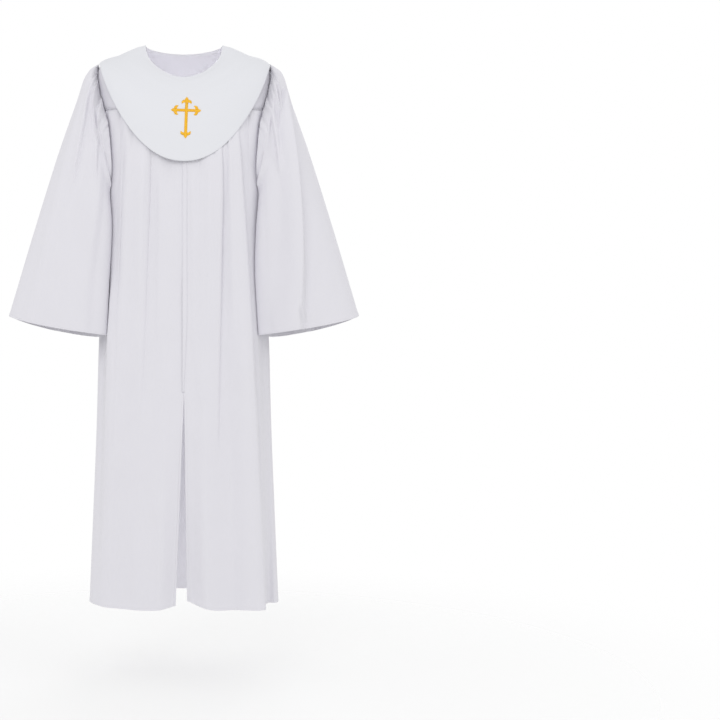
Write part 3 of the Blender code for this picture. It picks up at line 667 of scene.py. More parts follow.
def yoke_points():
    """Outer points of the yoke, from its neck edge down."""
    around = 2 * pi * np.arange(YOKE_COLUMNS) / YOKE_COLUMNS
    shares = np.linspace(0, 1, YOKE_ROWS + 1)[:, None] ** YOKE_ROW_SPREAD
    points = bare(yoke_end(around)[None] * shares, around[None])
    edge = np.linalg.norm(points - points[-1:], axis=-1)
    lowered = seam_tuck(edge) * 0.5
    return points + normals_of(points, True) * lowered[..., None]


def body_half_width(y, z):
    """How far the body's wall is from the middle at a depth and a height."""
    s = ring_at(z, Z_SIDE)
    n = curve_at(SQUARE, s)
    depth = np.where(y < 0, curve_at(FRONT, s), curve_at(BACK, s))
    return curve_at(HALF_WIDTH, s) * np.maximum(1 - np.abs(y / depth)**n, 0) ** (1 / n)


def armhole_points(turn):
    """Points of the armhole's edge. The turn runs from the shoulder's end to the front."""
    front = np.sin(turn) > 0
    reach = armhole_reach(np.arccos(np.clip(np.cos(turn), -1, 1)), front)
    return bare(ARMHOLE_MIDDLE - ARMHOLE_HALF * np.cos(turn), pi / 2 - np.where(front, reach, -reach))


def sleeve_sections(v, turn, side):
    """Points of the sleeve's ovals at shares of its length, without folds."""
    station = v * (len(SLEEVE) - 1)
    out_x, out_z, in_x, in_z, front, back = (curve_at([row[k] for row in SLEEVE], station) for k in range(6))
    behind = smooth(-2 * np.sin(turn))
    in_x = in_x + (1 - behind) * curve_at(SLEEVE_HANG[side], station)
    in_x = in_x + behind * curve_at(SLEEVE_HANG_BACK[side], station)
    bulge = SLEEVE_SQUARE - 2.0
    n = np.where(np.cos(turn) > 0, 2.0, 2.0 + bulge * smooth(-np.cos(turn) * 2))
    r = (np.abs(np.cos(turn))**n + np.abs(np.sin(turn))**n) ** (-1 / n)
    depth = np.where(np.sin(turn) > 0, front, back)
    x = (out_x + in_x) / 2 + (out_x - in_x) / 2 * r * np.cos(turn)
    z = (out_z + in_z) / 2 + (out_z - in_z) / 2 * r * np.cos(turn)
    return np.stack((x, -depth * r * np.sin(turn), z), axis=-1)


def sleeve_drape(v, angle):
    """How much of its drape over the underarm the sleeve's front has."""
    along = smooth(v / 0.04) * (1 - smooth((v - 0.10) / (SLEEVE_DRAPE_ENDS - 0.10)))
    (first, rise), (last, fall) = SLEEVE_DRAPE_ANGLES
    return along * smooth((angle - first) / rise) * smooth((last - angle) / fall)


def sleeve_gathers_out(v, angle, seed):
    """Gathers that leave the seam and slant down as they fade, the wide ones last."""
    slanted = angle - SLEEVE_GATHER_SLANT * v * np.sin(np.radians(angle))
    share = (slanted / 360) % 1
    waves = sum(part * (gather_wave(share, count, seed + count) + SLEEVE_GATHER_SWELL) * np.exp(-v / fades)
                for count, fades, part in SLEEVE_GATHERS)
    return waves * smooth(v / SLEEVE_GATHER_START)


def sleeve_folds_out(v, angle, folds):
    """How far a sleeve's folds stand out at shares of its length and angles in degrees."""
    out = np.zeros_like(v)
    for top, low, starts, ends, stands, flank_up, flank_down in folds:
        past = np.abs(angle) - np.abs(top + (low - top) * v)
        side = smooth(1 - np.abs(past) / np.where(past > 0, flank_down, flank_up))
        ease = smooth((v - starts) / SLEEVE_FOLD_EASE) * smooth((ends - v) / SLEEVE_FOLD_EASE)
        out += np.where(angle * top > 0, stands * side * ease, 0)
    return out


def sleeve_points(side, settings):
    """Outer points of a sleeve, from the armhole to the cuff. Its columns start at the underarm."""
    cuff = 1 - np.array(HEM_ROWS) / SLEEVE_LENGTH
    shares = np.concatenate((np.linspace(0, 1, SLEEVE_ROWS)[:-3] ** SLEEVE_ROW_SPREAD * cuff[0], cuff))
    turns = pi + 2 * pi * np.arange(SLEEVE_COLUMNS) / SLEEVE_COLUMNS
    v, turn = np.meshgrid(shares, turns, indexing="ij")
    angle = (np.degrees(turn) + 180) % 360 - 180
    ease = smooth(v / SLEEVE_EASE)[..., None]
    points = (1 - ease) * armhole_points(turn) + ease * sleeve_sections(v, turn, side)
    middles = (sleeve_sections(v, 0 * v, side) + sleeve_sections(v, 0 * v + pi, side)) / 2
    middles = (1 - ease) * bare(ARMHOLE_MIDDLE, pi / 2) + ease * middles
    gathers = settings.gathers
    sets_in, over = SLEEVE_GATHERED
    gathered = smooth((np.cos(turn) - sets_in) / over)
    out = gathers.sleeve_depth * gathered * sleeve_gathers_out(v, angle, gathers.seed + 40 + side)
    puffed = np.clip(v / SLEEVE_PUFF_END, 0, 1)
    out += gathers.puff * gathered * np.sin(pi * puffed ** 0.6)
    out += sleeve_folds_out(v, angle, SLEEVE_FOLDS[side])
    round_it, along_it = SLEEVE_WAVES
    out += uneven(turn / (2 * pi) * round_it + 0.13 * side, v * along_it, gathers.uneven)
    out += seam_tuck(v * SLEEVE_LENGTH) + hem_relief((1 - v) * SLEEVE_LENGTH, settings.stitches.hem)
    away = points - middles
    points = points + away / np.linalg.norm(away, axis=-1, keepdims=True) * out[..., None]
    drape = sleeve_drape(v, angle)
    points[..., 0] -= SLEEVE_DRAPE[0] * drape
    points[..., 1] -= SLEEVE_DRAPE[1] * drape
    clear = body_half_width(points[..., 1], points[..., 2]) + SLEEVE_CLEAR * smooth(v / 0.05)
    soft = 0.003 * smooth(v / 0.10)
    apart = points[..., 0] - clear
    pushed = clear + (apart + np.sqrt(apart**2 + soft**2)) / 2
    low = np.where(v > 0, smooth((SLEEVE_BESIDE_BODY - points[..., 2]) / 0.05), 0)
    points[..., 0] += low * (pushed - points[..., 0])
    sag = np.where(np.sin(turn) > 0, CUFF_SAG_FRONT, CUFF_SAG_BACK)
    points[..., 2] -= sag * v**3 * np.abs(np.sin(turn))
    points[..., 0] += SEAM * (1 - smooth(v / 0.1))
    points[..., 0] *= side
    return points


def stole_rings(around):
    """Rings of the stole's neck edge and outer edge at each angle."""
    def past_outer(p):
        behind = p[..., 1] > 0
        drop = np.where(behind, STOLE_TIP, STOLE_FRONT_DROP) - STOLE_TOP
        down = np.maximum((p[..., 2] - STOLE_TOP) / drop, 0)
        across = np.abs(p[..., 0]) / np.where(p[..., 0] < 0, *STOLE_HALF_WIDTH)
        front = across**STOLE_FRONT_ROUND[0] + down**STOLE_FRONT_ROUND[1]
        back = across**STOLE_BACK_ROUND[0] + down**STOLE_BACK_ROUND[1]
        return np.where(behind, back, front) > 1

    def past_v(p):
        return np.abs(p[..., 0]) / STOLE_V_HALF_WIDTH + p[..., 2] / STOLE_V_TIP > 1

    def ring_where(low, high, past):
        for _ in range(40):
            middle = (low + high) / 2
            beyond = past(bare(middle, around))
            low, high = np.where(beyond, low, middle), np.where(beyond, middle, high)
        return (low + high) / 2

    outer = ring_where(np.full_like(around, 0.5), np.full_like(around, UNDERARM + 2), past_outer)
    inner = np.where(np.cos(around) < 0, ring_where(np.zeros_like(around), outer, past_v), 0.0)
    return inner, outer


def stole_points():
    """Inner points of the stole collar, from its neck edge to its outer edge."""
    around = 2 * pi * np.arange(STOLE_COLUMNS) / STOLE_COLUMNS
    inner, outer = stole_rings(around)
    shares = np.linspace(0, 1, STOLE_ROWS + 1)
    shares = np.sort(np.concatenate((shares, STOLE_EDGE_ROWS)))[:, None]
    s = inner + (outer - inner) * shares
    base = bare(s, around[None])
    first, second, third = STOLE_LIFT_RINGS
    lift = STOLE_LAY + (STOLE_LIFT - STOLE_LAY) * smooth(s / first)
    lift += (STOLE_LIFT_LOW - STOLE_LIFT) * smooth((s - second) / (third - second))
    steps = np.linalg.norm(np.diff(base, axis=0), axis=-1)
    from_neck = np.concatenate((np.zeros((1, STOLE_COLUMNS)), np.cumsum(steps, axis=0)))
    from_edge = from_neck[-1:] - from_neck
    lift -= STOLE_EDGE_ROUND * (1 - smooth(from_edge / STOLE_EDGE_WIDTH))
    lift -= STOLE_SEAM * np.exp(-((from_neck - STOLE_SEAM_AT) / STOLE_SEAM_WIDTH)**2)
    return base + normals_of(base, True) * lift[..., None]


# Meshes

def cloth_faces(rows, columns, closed):
    """Corner numbers of a grid's faces, one row of four for each face."""
    i, j = np.meshgrid(np.arange(rows - 1), np.arange(columns if closed else columns - 1), indexing="ij")
    k = (j + 1) % columns
    corners = (i * columns + j, (i + 1) * columns + j, (i + 1) * columns + k, i * columns + k)
    return np.stack(corners, axis=-1).reshape(-1, 4)


def cut_lengths(points, closed):
    """Distances across and along the cloth, in metres, as it was cut flat."""
    if closed:
        points = np.concatenate((points, points[:, :1]), axis=1)
    steps = np.linalg.norm(np.diff(points, axis=1), axis=-1)
    across = np.concatenate((np.zeros((len(points), 1)), np.cumsum(steps, axis=1)), axis=1)
    across -= across[:, -1:] / 2
    steps = np.linalg.norm(np.diff(points, axis=0), axis=-1)
    along = np.concatenate((np.zeros((1, points.shape[1])), np.cumsum(steps, axis=0)), axis=0)
    return across, along


def smooth_object(name, mesh, material):
    mesh.shade_smooth()
    mesh.materials.append(material)
    obj = bpy.data.objects.new(name, mesh)
    bpy.context.scene.collection.objects.link(obj)
    return obj


def sew(name, points, material, thickness, closed=False, flip=False, outward=False):
    """A thin cloth on a grid of points, with the flat cut's lengths as its UV map."""
    rows, columns = points.shape[:2]
    turned = slice(None, None, -1 if flip else None)
    mesh = bpy.data.meshes.new(name)
    mesh.from_pydata(points.reshape(-1, 3), [], cloth_faces(rows, columns, closed)[:, turned])
    lengths = np.stack(cut_lengths(points, closed), axis=-1)
    cells = cloth_faces(rows, lengths.shape[1], False)[:, turned]
    flat = lengths.reshape(-1, 2)[cells.reshape(-1)]
    layer = mesh.uv_layers.new(name="cloth")
    layer.data.foreach_set("uv", flat.astype(np.float32).reshape(-1))
    obj = smooth_object(name, mesh, material)
    obj["grid"] = (rows, columns)
    solidify = obj.modifiers.new("Cloth thickness", "SOLIDIFY")
    solidify.thickness = thickness
    solidify.offset = 1 if outward else -1
    return obj


def tube_faces(base, stations, sides):
    """Faces of a closed thread, whose rings of corners start at a corner's number."""
    faces = []
    top = base + (stations - 1) * sides
    for row in range(base, top, sides):
        for k in range(sides):
            m = (k + 1) % sides
            faces.append((row + k, row + m, row + sides + m, row + sides + k))
    faces.append(tuple(base + k for k in reversed(range(sides))))
    faces.append(tuple(top + k for k in range(sides)))
    return faces


def dress(obj, slot, *nodes):
    """The piece rides on the robe and stands for some solids, which it hides. Its slot is not used."""
    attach(obj, "root")
    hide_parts(*nodes)
    return obj


# Materials

def new_material(name, colour, roughness):
    material = bpy.data.materials.new(name)
    material.use_nodes = True
    shader = material.node_tree.nodes["Principled BSDF"]
    shader.inputs["Base Color"].default_value = colour
    shader.inputs["Roughness"].default_value = roughness
    return material, shader


def feed(tree, node, inputs):
    """Set or link a node's inputs, by number or by name."""
    for key, value in inputs.items():
        if isinstance(value, bpy.types.NodeSocket):
            tree.links.new(value, node.inputs[key])
        else:
            node.inputs[key].default_value = value


def new_node(tree, kind, **inputs):
    node = tree.nodes.new("ShaderNode" + kind)
    feed(tree, node, inputs)
    return node


def math_node(tree, operation, *values):
    node = tree.nodes.new("ShaderNodeMath")
    node.operation = operation
    feed(tree, node, dict(enumerate(values)))
    return node.outputs[0]


def tint(tree, shader, colour, shade):
    """The finish's colour, multiplied by a darkening: painted shade between threads or twist ridges, and in
    the weave also a random mottle.
    """
    mix = tree.nodes.new("ShaderNodeMix")
    mix.data_type = "RGBA"
    mix.blend_type = "MULTIPLY"
    mix.inputs["Factor"].default_value = 1
    feed(tree, mix, {6: colour, 7: shade})
    tree.links.new(mix.outputs[2], shader.inputs["Base Color"])


def emboss(tree, shader, height, strength, distance):
    lift = new_node(tree, "Bump", Strength=strength, Distance=distance, Height=height)
    tree.links.new(lift.outputs["Normal"], shader.inputs["Normal"])


def plain_weave(tree, pitch):
    """Height of a plain weave on the cloth's own lengths: threads that pass over and under."""
    uv = tree.nodes.new("ShaderNodeUVMap")
    uv.uv_map = "cloth"
    split = new_node(tree, "SeparateXYZ", Vector=uv.outputs["UV"])
    heights = []
    for across, along in ((0, 1), (1, 0)):
        thread = math_node(tree, "MULTIPLY", split.outputs[across], pi / pitch)
        crossing = math_node(tree, "MULTIPLY", split.outputs[along], pi / pitch)
        round_side = math_node(tree, "ABSOLUTE", math_node(tree, "SINE", thread))
        over = math_node(tree, "MULTIPLY", math_node(tree, "SINE", crossing),
                         math_node(tree, "SINE", math_node(tree, "MULTIPLY", thread, 0.5)))
        lifted = math_node(tree, "MULTIPLY_ADD", over, 0.35, 0.65)
        heights.append(math_node(tree, "MULTIPLY", round_side, lifted))
    return math_node(tree, "MAXIMUM", *heights), uv.outputs["UV"]


def woven_material(name, colour, roughness, pitch, bump, mottle, sheen):
    """Cloth of a fine plain weave, a little uneven in colour, with painted shade between its threads and a
    soft sheen.
    """
    material, shader = new_material(name, colour, roughness)
    tree = material.node_tree
    height, uv = plain_weave(tree, pitch)
    mottled = new_node(tree, "TexNoise", Scale=14, Detail=5, Vector=uv).outputs["Fac"]
    stretch = new_node(tree, "Mapping", Scale=(1.0, 0.12, 1.0), Vector=uv)
    slub = new_node(tree, "TexNoise", Scale=420, Detail=2, Vector=stretch.outputs["Vector"]).outputs["Fac"]
    # Painted shade: the colour is made darker where the weave's height is low, between the threads, on top of
    # a random mottle of tone.
    painted_gap_shade = PAINTED_THREAD_SHADE
    shade = math_node(tree, "MULTIPLY_ADD", mottled, mottle, 1 - mottle / 2 - painted_gap_shade)
    tint(tree, shader, colour, math_node(tree, "MULTIPLY_ADD", height, painted_gap_shade, shade))
    rough = math_node(tree, "MULTIPLY_ADD", height, -0.10, roughness + 0.05)
    relief = math_node(tree, "MULTIPLY_ADD", slub, 0.5, height)
    emboss(tree, shader, relief, bump, pitch * 0.3)
    feed(tree, shader, {"Roughness": rough, "Sheen Weight": sheen, "Sheen Roughness": 0.5,
                        "Specular IOR Level": 0.3})
    return material


def robe_material(settings):
    name, cloth = "robe white weave", settings.cloth
    return bpy.data.materials.get(name) or woven_material(
        name, cloth.robe_colour, 0.72, cloth.thread, 0.28, 0.03, 0.18)


def stole_material(settings):
    name, cloth = "stole white weave", settings.cloth
    return bpy.data.materials.get(name) or woven_material(
        name, cloth.stole_colour, 0.66, cloth.thread * 0.85, 0.4, 0.015, 0.12)


def twisted_thread(name, colour, roughness, sheen, twists, strength):
    """Thread with its twist as fine slanted ridges. It also gives the ridges' height."""
    material, shader = new_material(name, colour, roughness)
    tree = material.node_tree
    place = tree.nodes.new("ShaderNodeTexCoord").outputs["Object"]
    wave = new_node(tree, "TexWave", Scale=twists, Distortion=0.6, Vector=place)
    wave.bands_direction = "DIAGONAL"
    twist = wave.outputs["Fac"]
    emboss(tree, shader, twist, strength, 0.0001)
    shader.inputs["Sheen Weight"].default_value = sheen
    return material, shader, twist


def thread_material(settings):
    name = "white sewing thread"
    return bpy.data.materials.get(name) or twisted_thread(
        name, settings.cloth.robe_colour, 0.5, 0.2, 130, 0.3)[0]


def gold_material(settings):
    """Gold thread, with painted shade between the ridges of its twist."""
    colour = settings.cloth.gold_colour
    material, shader, twist = twisted_thread("gold satin thread", colour, 0.36, 0.15, 260, 0.35)
    tree = material.node_tree
    # Painted shade: the colour is made darker in the grooves between the twist's ridges.
    tint(tree, shader, colour, math_node(tree, "MULTIPLY_ADD", twist, 0.22, 0.86))
    return material


# Stitches

def resample(path, step):
    """Rows along a path, one step apart. Each starts with a point and may hold more."""
    lengths = np.concatenate(([0], np.cumsum(np.linalg.norm(np.diff(path[:, :3], axis=0), axis=-1))))
    places = np.arange(0, lengths[-1], step)
    return np.stack([np.interp(places, lengths, path[:, k]) for k in range(path.shape[1])], axis=-1)


def stitch_mesh(name, runs, settings, material):
    """Short rounded threads along each run of surface points and outward directions."""
    stitches = settings.stitches
    pitch = stitches.length + stitches.gap
    sides, stations = 5, ((0.0, 0.3), (0.2, 0.95), (0.8, 0.95), (1.0, 0.3))
    vertices, faces = [], []
    for path, out in runs:
        joined = resample(np.concatenate((path, out), axis=1), pitch)
        start, end, up = joined[:-1, :3], joined[1:, :3], joined[:-1, 3:]
        along = (end - start) * (stitches.length / pitch)
        up = up / np.linalg.norm(up, axis=-1, keepdims=True)
        across = np.cross(along, up)
        across /= np.maximum(np.linalg.norm(across, axis=-1, keepdims=True), 1e-12)
        for a, d, u, c in zip(start, along, up, across):
            base = len(vertices)
            for place, wide in stations:
                middle = a + d * place + u * stitches.thread * (0.1 + 0.5 * sin(pi * place))
                for k in range(sides):
                    t = 2 * pi * k / sides
                    vertices.append(middle + (c * cos(t) + u * sin(t)) * stitches.thread * wide)
            faces += tube_faces(base, len(stations), sides)
    mesh = bpy.data.meshes.new(name)
    mesh.from_pydata(vertices, [], faces)
    return smooth_object(name, mesh, material)


def cloth_grid(name):
    """The outer points and directions of a sewn piece, as its grid."""
    obj = bpy.data.objects[name]
    rows, columns = obj["grid"]
    points, normals = np.empty((2, len(obj.data.vertices) * 3))
    obj.data.vertices.foreach_get("co", points)
    obj.data.vertex_normals.foreach_get("vector", normals)
    return points.reshape(rows, columns, 3), normals.reshape(rows, columns, 3)


def row_run(grid, above, closed=False):
    """A run across the cloth at a distance above its last row."""
    points, normals = grid
    steps = np.linalg.norm(np.diff(points[::-1], axis=0), axis=-1)
    heights = np.concatenate((np.cumsum(steps, axis=0)[::-1], np.zeros((1, points.shape[1]))))
    row = int(np.argmin(np.abs(heights.mean(axis=1) - above)))
    path, out = points[row], normals[row]
    if closed:
        path, out = np.concatenate((path, path[:1])), np.concatenate((out, out[:1]))
    return path, out


def column_run(grid, inside, from_last, first_row=0):
    """A run along the cloth at a distance inside its first or last column."""
    points, normals = grid
    if from_last:
        points, normals = points[:, ::-1], normals[:, ::-1]
    path, out = [], []
    for row, turned in zip(points[first_row:], normals[first_row:]):
        lengths = np.concatenate(([0], np.cumsum(np.linalg.norm(np.diff(row, axis=0), axis=-1))))
        path.append([np.interp(inside, lengths, row[:, k]) for k in range(3)])
        out.append([np.interp(inside, lengths, turned[:, k]) for k in range(3)])
    return np.array(path), np.array(out)


# Operators

class ROBE_OT_fronts(bpy.types.Operator):
    """Sew the two gathered fronts and open the slit between them"""
    bl_idname = "robe.fronts"
    bl_label = "Sew fronts"

    def execute(self, context):
        settings = context.scene.clergy_robe
        for side, name in ((-1, "front_left"), (1, "front_right")):
            points = front_points(side, settings)
            cloth = sew(name + "_cloth", points, robe_material(settings), settings.cloth.thickness,
                        flip=side < 0)
            dress(cloth, "robe_cloth", name)
        return {"FINISHED"}


class ROBE_OT_placket(bpy.types.Operator):
    """Lay the narrow placket over the closed part of the front edges"""
    bl_idname = "robe.placket"
    bl_label = "Sew placket"

    def execute(self, context):
        settings = context.scene.clergy_robe
        z = np.linspace(PLACKET_TOP, PLACKET_END, 160)[:, None]
        edge = np.array((0.0, 0.0004, 0.001, 0.0022))
        width = PLACKET_LEFT + PLACKET_RIGHT
        across = np.concatenate((edge, (width / 2,), width - edge[::-1]))[None]
        low = smooth((PLACKET_NARROWS - z) / (PLACKET_NARROWS - PLACKET_END))
        narrow = 1 - (1 - PLACKET_NARROW_SHARE) * low
        x = -PLACKET_LEFT + across * narrow
        s = ring_at(z, Z_FRONT) + 0 * x
        points = bare(s, np.arctan2(x, curve_at(FRONT, s)))
        out, _ = folds_at(points[..., 0], points[..., 2], FOLDS_FRONT)
        out = out + uneven(points[..., 0], points[..., 2], settings.gathers.uneven)
        inside = np.minimum(across, width - across) * narrow
        groove = 0.0003 * np.exp(-((inside - PLACKET_STITCHES) / 0.0005)**2)
        lift = PLACKET_LIFT[0] + (PLACKET_LIFT[1] - PLACKET_LIFT[0]) * across / width
        lift = PLACKET_LIFT[1] + (lift - PLACKET_LIFT[1]) * smooth((-0.48 - points[..., 2]) / 0.12)
        points[..., 1] -= out + lift + PLACKET_CLOTH + 0.0003 * smooth(inside / 0.0008) - groove
        cloth = sew("placket_cloth", points, robe_material(settings), PLACKET_CLOTH)
        dress(cloth, "robe_cloth", "centre_placket")
        return {"FINISHED"}


class ROBE_OT_back(bpy.types.Operator):
    """Sew the wide gathered back"""
    bl_idname = "robe.back"
    bl_label = "Sew back"

    def execute(self, context):
        settings = context.scene.clergy_robe
        points = back_points(settings)
        cloth = sew("back_cloth", points, robe_material(settings), settings.cloth.thickness, flip=True)
        dress(cloth, "robe_cloth", "back_panel")
        return {"FINISHED"}


class ROBE_OT_yoke(bpy.types.Operator):
    """Sew the smooth yoke that carries the panels and the sleeves"""
    bl_idname = "robe.yoke"
    bl_label = "Sew yoke"

    def execute(self, context):
        settings = context.scene.clergy_robe
        points = yoke_points()
        cloth = sew("yoke_cloth", points, robe_material(settings), settings.cloth.thickness, closed=True)
        dress(cloth, "robe_cloth", "yoke")
        return {"FINISHED"}


class ROBE_OT_sleeves(bpy.types.Operator):
    """Sew the two bell sleeves, gathered into their armholes"""
    bl_idname = "robe.sleeves"
    bl_label = "Sew sleeves"

    def execute(self, context):
        settings = context.scene.clergy_robe
        for side, name in ((-1, "sleeve_left"), (1, "sleeve_right")):
            points = sleeve_points(side, settings)
            cloth = sew(name + "_cloth", points, robe_material(settings), settings.cloth.thickness,
                        closed=True, flip=side > 0)
            dress(cloth, "robe_cloth", name)
        return {"FINISHED"}


class ROBE_OT_stole(bpy.types.Operator):
    """Lay the stole collar, round in front and pointed behind, over the yoke"""
    bl_idname = "robe.stole"
    bl_label = "Lay stole collar"

    def execute(self, context):
        settings = context.scene.clergy_robe
        points = stole_points()
        cloth = sew("stole_cloth", points, stole_material(settings), settings.cloth.stole_thickness,
                    closed=True, outward=True)
        dress(cloth, "stole_cloth", "stole_collar")
        return {"FINISHED"}


class ROBE_OT_cross(bpy.types.Operator):
    """Embroider the gold cross in satin stitch on the front of the stole collar"""
    bl_idname = "robe.cross"
    bl_label = "Embroider cross"

    def execute(self, context):
        settings = context.scene.clergy_robe
        depsgraph = context.evaluated_depsgraph_get()
        worn = bpy.data.objects["stole_cloth"].evaluated_get(depsgraph).data
        tree = BVHTree.FromPolygons([v.co for v in worn.vertices], [p.vertices for p in worn.polygons])
        rungs = cross_rungs(settings.stitches.satin)
        obj = satin_mesh("cross_embroidery", rungs, tree, settings)
        dress(obj, "gold_thread", "gold_cross")
        return {"FINISHED"}


def rung_rows(pairs, pitch):
    """Thread ends from one edge of a stroke to the other, a thread's pitch apart."""
    rungs = []
    for (a, b), (c, d) in zip(pairs, pairs[1:]):
        a, b, c, d = (np.array(p, float) for p in (a, b, c, d))
        count = max(int(ceil(np.linalg.norm((c + d - a - b) / 2) / pitch)), 1)
        for k in range(count):
            t = k / count
            rungs.append((a + (c - a) * t, b + (d - b) * t))
    return rungs


def cross_rungs(pitch):
    """Ends of every satin thread in the cross's own plane, tilted as it is sewn on."""
    rungs = []
    for turned, length in CROSS_ARMS:
        t = radians(turned) - CROSS_TILT
        stem_end = length - POINT[0][0]
        spine = [(0.0, BAR), (stem_end, BAR)] + [(length - back, side) for back, side in POINT[1:]]
        arm = rung_rows([((a, -b), (a, b)) for a, b in spine], pitch)
        for side in (-1, 1):
            arm += rung_rows([((length - a, side * b), (length - c, side * d)) for a, b, c, d in BARB], pitch)
        turn = np.array(((cos(t), sin(t)), (-sin(t), cos(t))))
        rungs += [(a @ turn, b @ turn) for a, b in arm]
    return rungs


def satin_mesh(name, rungs, tree, settings):
    """A padded arch of thread over each rung, laid on the cloth below."""
    stitches = settings.stitches
    radius = stitches.satin * 0.62
    sides, stations = 5, 7
    vertices, faces = [], []
    for a, b in rungs:
        width = np.linalg.norm(b - a)
        if width < radius:
            continue
        height = stitches.satin_height * min(1.0, width / (2 * BAR)) ** 0.5
        middle = (a + b) / 2
        ends = []
        for x, z in (a, b, middle):
            place, normal, *_ = tree.ray_cast(
                Vector((CROSS_AT[0] + x, -1, CROSS_AT[1] + z)), Vector((0, 1, 0)))
            ends.append(np.array(place))
        out = np.array(normal)
        along = (ends[1] - ends[0]) / np.linalg.norm(ends[1] - ends[0])
        side_way = np.cross(along, out)
        base = len(vertices)
        for i in range(stations):
            t = i / (stations - 1)
            arch = sin(pi * t) ** 0.6
            centre = ends[0] + (ends[1] - ends[0]) * t + out * (height * arch + radius * 0.4)
            wide = radius * (0.75 + 0.25 * sin(pi * t))
            for k in range(sides):
                u = 2 * pi * k / sides
                vertices.append(centre + (side_way * cos(u) + out * sin(u) * 0.8) * wide)
        faces += tube_faces(base, stations, sides)
    mesh = bpy.data.meshes.new(name)
    mesh.from_pydata(vertices, [], faces)
    bm = bmesh.new()
    bm.from_mesh(mesh)
    bmesh.ops.recalc_face_normals(bm, faces=bm.faces)
    bm.to_mesh(mesh)
    bm.free()
    return smooth_object(name, mesh, gold_material(settings))


class ROBE_OT_stitching(bpy.types.Operator):
    """Stitch the hem, the slit, the placket, the cuffs and the yoke's seam"""
    bl_idname = "robe.stitching"
    bl_label = "Stitch edges"

    def execute(self, context):
        settings = context.scene.clergy_robe
        hem = settings.stitches.hem
        fronts = [cloth_grid(f"front_{side}_cloth") for side in ("left", "right")]
        back = cloth_grid("back_cloth")
        slit_row = int(np.searchsorted(panel_rings(SHOULDER), ring_at(SLIT_TOP - 0.01, Z_FRONT)))
        runs = {
            "hem_stitches": [row_run(grid, hem) for grid in (*fronts, back)],
            "slit_stitches": [column_run(grid, hem, False, slit_row) for grid in fronts],
            **{f"cuff_stitches_{side}": [row_run(cloth_grid(f"sleeve_{side}_cloth"), hem, closed=True)]
               for side in ("left", "right")},
            "placket_stitches": [column_run(cloth_grid("placket_cloth"), PLACKET_STITCHES, last)
                                 for last in (False, True)],
            "yoke_stitches": [row_run(cloth_grid("yoke_cloth"), 0.003, closed=True)],
        }
        for name, paths in runs.items():
            sewn = stitch_mesh(name, paths, settings, thread_material(settings))
            dress(sewn, "robe_cloth")
        return {"FINISHED"}


class ROBE_OT_stage(bpy.types.Operator):
    """Set the pale floor, the soft lights and the camera"""
    bl_idname = "robe.stage"
    bl_label = "Set studio"

    def execute(self, context):
        studio = context.scene.clergy_robe.studio
        make_floor(studio)
        make_lights(studio)
        make_sky(context.scene, studio)
        make_camera(context.scene, studio)
        context.scene.view_settings.view_transform = "Standard"
        return {"FINISHED"}


def make_floor(studio):
    """A wide pale disc that fades out into the white all round."""
    bm = bmesh.new()
    bmesh.ops.create_circle(bm, cap_ends=True, segments=96, radius=4.0)
    mesh = bpy.data.meshes.new("studio_floor")
    bm.to_mesh(mesh)
    bm.free()
    floor = bpy.data.objects.new("studio_floor", mesh)
    floor.location = (0, 0, studio.floor)
    bpy.context.scene.collection.objects.link(floor)
    material, shader = new_material("pale floor", (0.93, 0.93, 0.93, 1), 0.9)
    tree = material.node_tree
    place = tree.nodes.new("ShaderNodeTexCoord")
    length = tree.nodes.new("ShaderNodeVectorMath")
    length.operation = "LENGTH"
    tree.links.new(place.outputs["Object"], length.inputs[0])
    fade = tree.nodes.new("ShaderNodeMapRange")
    fade.interpolation_type = "SMOOTHSTEP"
    feed(tree, fade, {"Value": length.outputs["Value"], "From Min": 0.5, "From Max": 1.6,
                      "To Min": 0.5, "To Max": 0.0})
    tree.links.new(fade.outputs["Result"], shader.inputs["Alpha"])
    mesh.materials.append(material)


def hang_light(name, kind, power, place, turned):
    light = bpy.data.lights.new(name, kind)
    light.energy = power
    obj = bpy.data.objects.new(name, light)
    obj.location = place
    obj.rotation_euler = turned
    obj.visible_camera = False
    bpy.context.scene.collection.objects.link(obj)
    return light


def make_lights(studio):
    """Large soft lights in front, at the sides and behind, and two small ones inside the robe."""
    lights = (
        # name, place, size, power
        ("key_light", (-1.1, -3.3, 1.2), 2.2, studio.key),
        ("fill_light_right", (3.0, -1.6, 0.2), 2.0, studio.fill),
        ("fill_light_left", (-3.0, -0.6, -0.2), 2.0, studio.fill * 0.4),
        ("back_light", (0.8, 3.2, 1.2), 2.4, studio.back),
    )
    for name, place, size, power in lights:
        aim = Vector((0, 0, -0.62)) - Vector(place)
        light = hang_light(name, "AREA", power, place, aim.to_track_quat("-Z", "Y").to_euler())
        light.size = size
    neck = hang_light("inside_light_neck", "POINT", studio.inside * 1.2, (0, 0.02, -0.22), (0, 0, 0))
    neck.shadow_soft_size = 0.05
    slit = hang_light("inside_light_slit", "AREA", studio.inside * 0.46, (0, 0, -1.02), (radians(90), 0, 0))
    slit.shape = "RECTANGLE"
    slit.size, slit.size_y = 0.10, 0.55


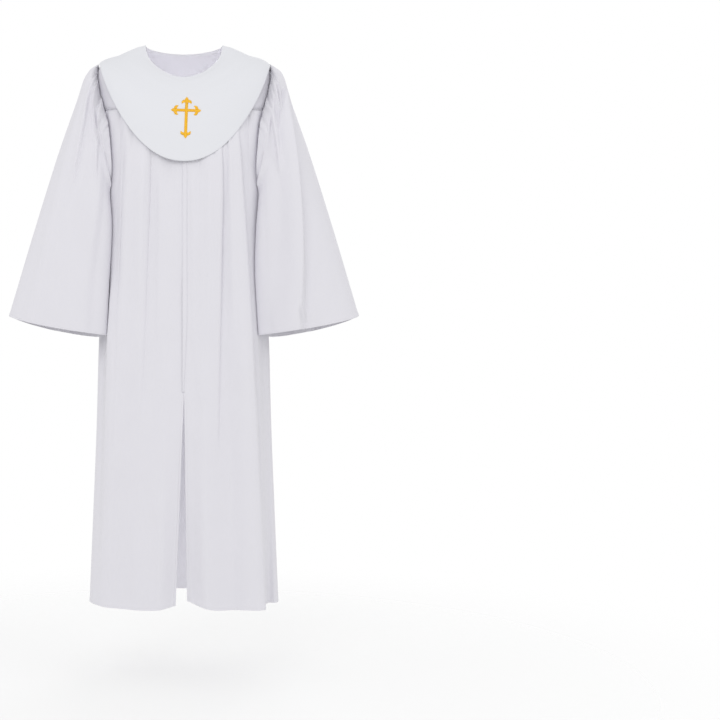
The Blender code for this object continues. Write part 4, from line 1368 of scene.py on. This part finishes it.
def make_sky(scene, studio):
    """Even light from all round, with a white backdrop."""
    world = bpy.data.worlds.new("studio sky")
    world.use_nodes = True
    scene.world = world
    tree = world.node_tree
    sky = tree.nodes["Background"]
    feed(tree, sky, {"Color": (1, 1, 1, 1), "Strength": studio.sky})
    white = new_node(tree, "Background", Color=(1, 1, 1, 1), Strength=1.0)
    rays = tree.nodes.new("ShaderNodeLightPath")
    mix = tree.nodes.new("ShaderNodeMixShader")
    feed(tree, mix, {"Fac": rays.outputs["Is Camera Ray"], 1: sky.outputs[0], 2: white.outputs[0]})
    tree.links.new(mix.outputs["Shader"], tree.nodes["World Output"].inputs["Surface"])


def make_camera(scene, studio):
    """Level with the robe's middle, shifted so that the robe stands left in the frame."""
    frame_width = 720
    data = bpy.data.cameras.new("camera")
    data.lens = studio.lens
    data.sensor_width = 36
    data.shift_x = (frame_width / 2 - studio.robe_middle) / frame_width
    camera = bpy.data.objects.new("camera", data)
    camera.location = (0, -studio.camera_distance, studio.camera_height)
    camera.rotation_euler = (radians(90), 0, 0)
    scene.collection.objects.link(camera)
    scene.camera = camera


class ROBE_PT_sewing(bpy.types.Panel):
    """Steps and sizes of the robe"""
    bl_label = "Clergy Robe"
    bl_idname = "ROBE_PT_sewing"
    bl_space_type = "VIEW_3D"
    bl_region_type = "UI"
    bl_category = "Robe"

    def draw(self, context):
        settings = context.scene.clergy_robe
        for group in (settings.cloth, settings.gathers, settings.stitches, settings.studio):
            box = self.layout.box()
            for name in group.bl_rna.properties.keys():
                if name not in ("rna_type", "name"):
                    box.prop(group, name)
        for step in STEPS:
            self.layout.operator(step.bl_idname)


STEPS = (ROBE_OT_fronts, ROBE_OT_placket, ROBE_OT_back, ROBE_OT_yoke, ROBE_OT_sleeves,
         ROBE_OT_stole, ROBE_OT_cross, ROBE_OT_stitching, ROBE_OT_stage)
GROUPS = (RobeCloth, RobeGathers, RobeStitches, RobeStudio, RobeSettings)


def register():
    for item in (*GROUPS, *STEPS, ROBE_PT_sewing):
        bpy.utils.register_class(item)
    bpy.types.Scene.clergy_robe = PointerProperty(type=RobeSettings)


def unregister():
    del bpy.types.Scene.clergy_robe
    for item in reversed((*GROUPS, *STEPS, ROBE_PT_sewing)):
        bpy.utils.unregister_class(item)


def main():
    register()
    bpy.ops.robe.fronts()
    bpy.ops.robe.placket()
    bpy.ops.robe.back()
    bpy.ops.robe.yoke()
    bpy.ops.robe.sleeves()
    bpy.ops.robe.stole()
    bpy.ops.robe.cross()
    bpy.ops.robe.stitching()
    bpy.ops.robe.stage()


if __name__ == "__main__":
    main()
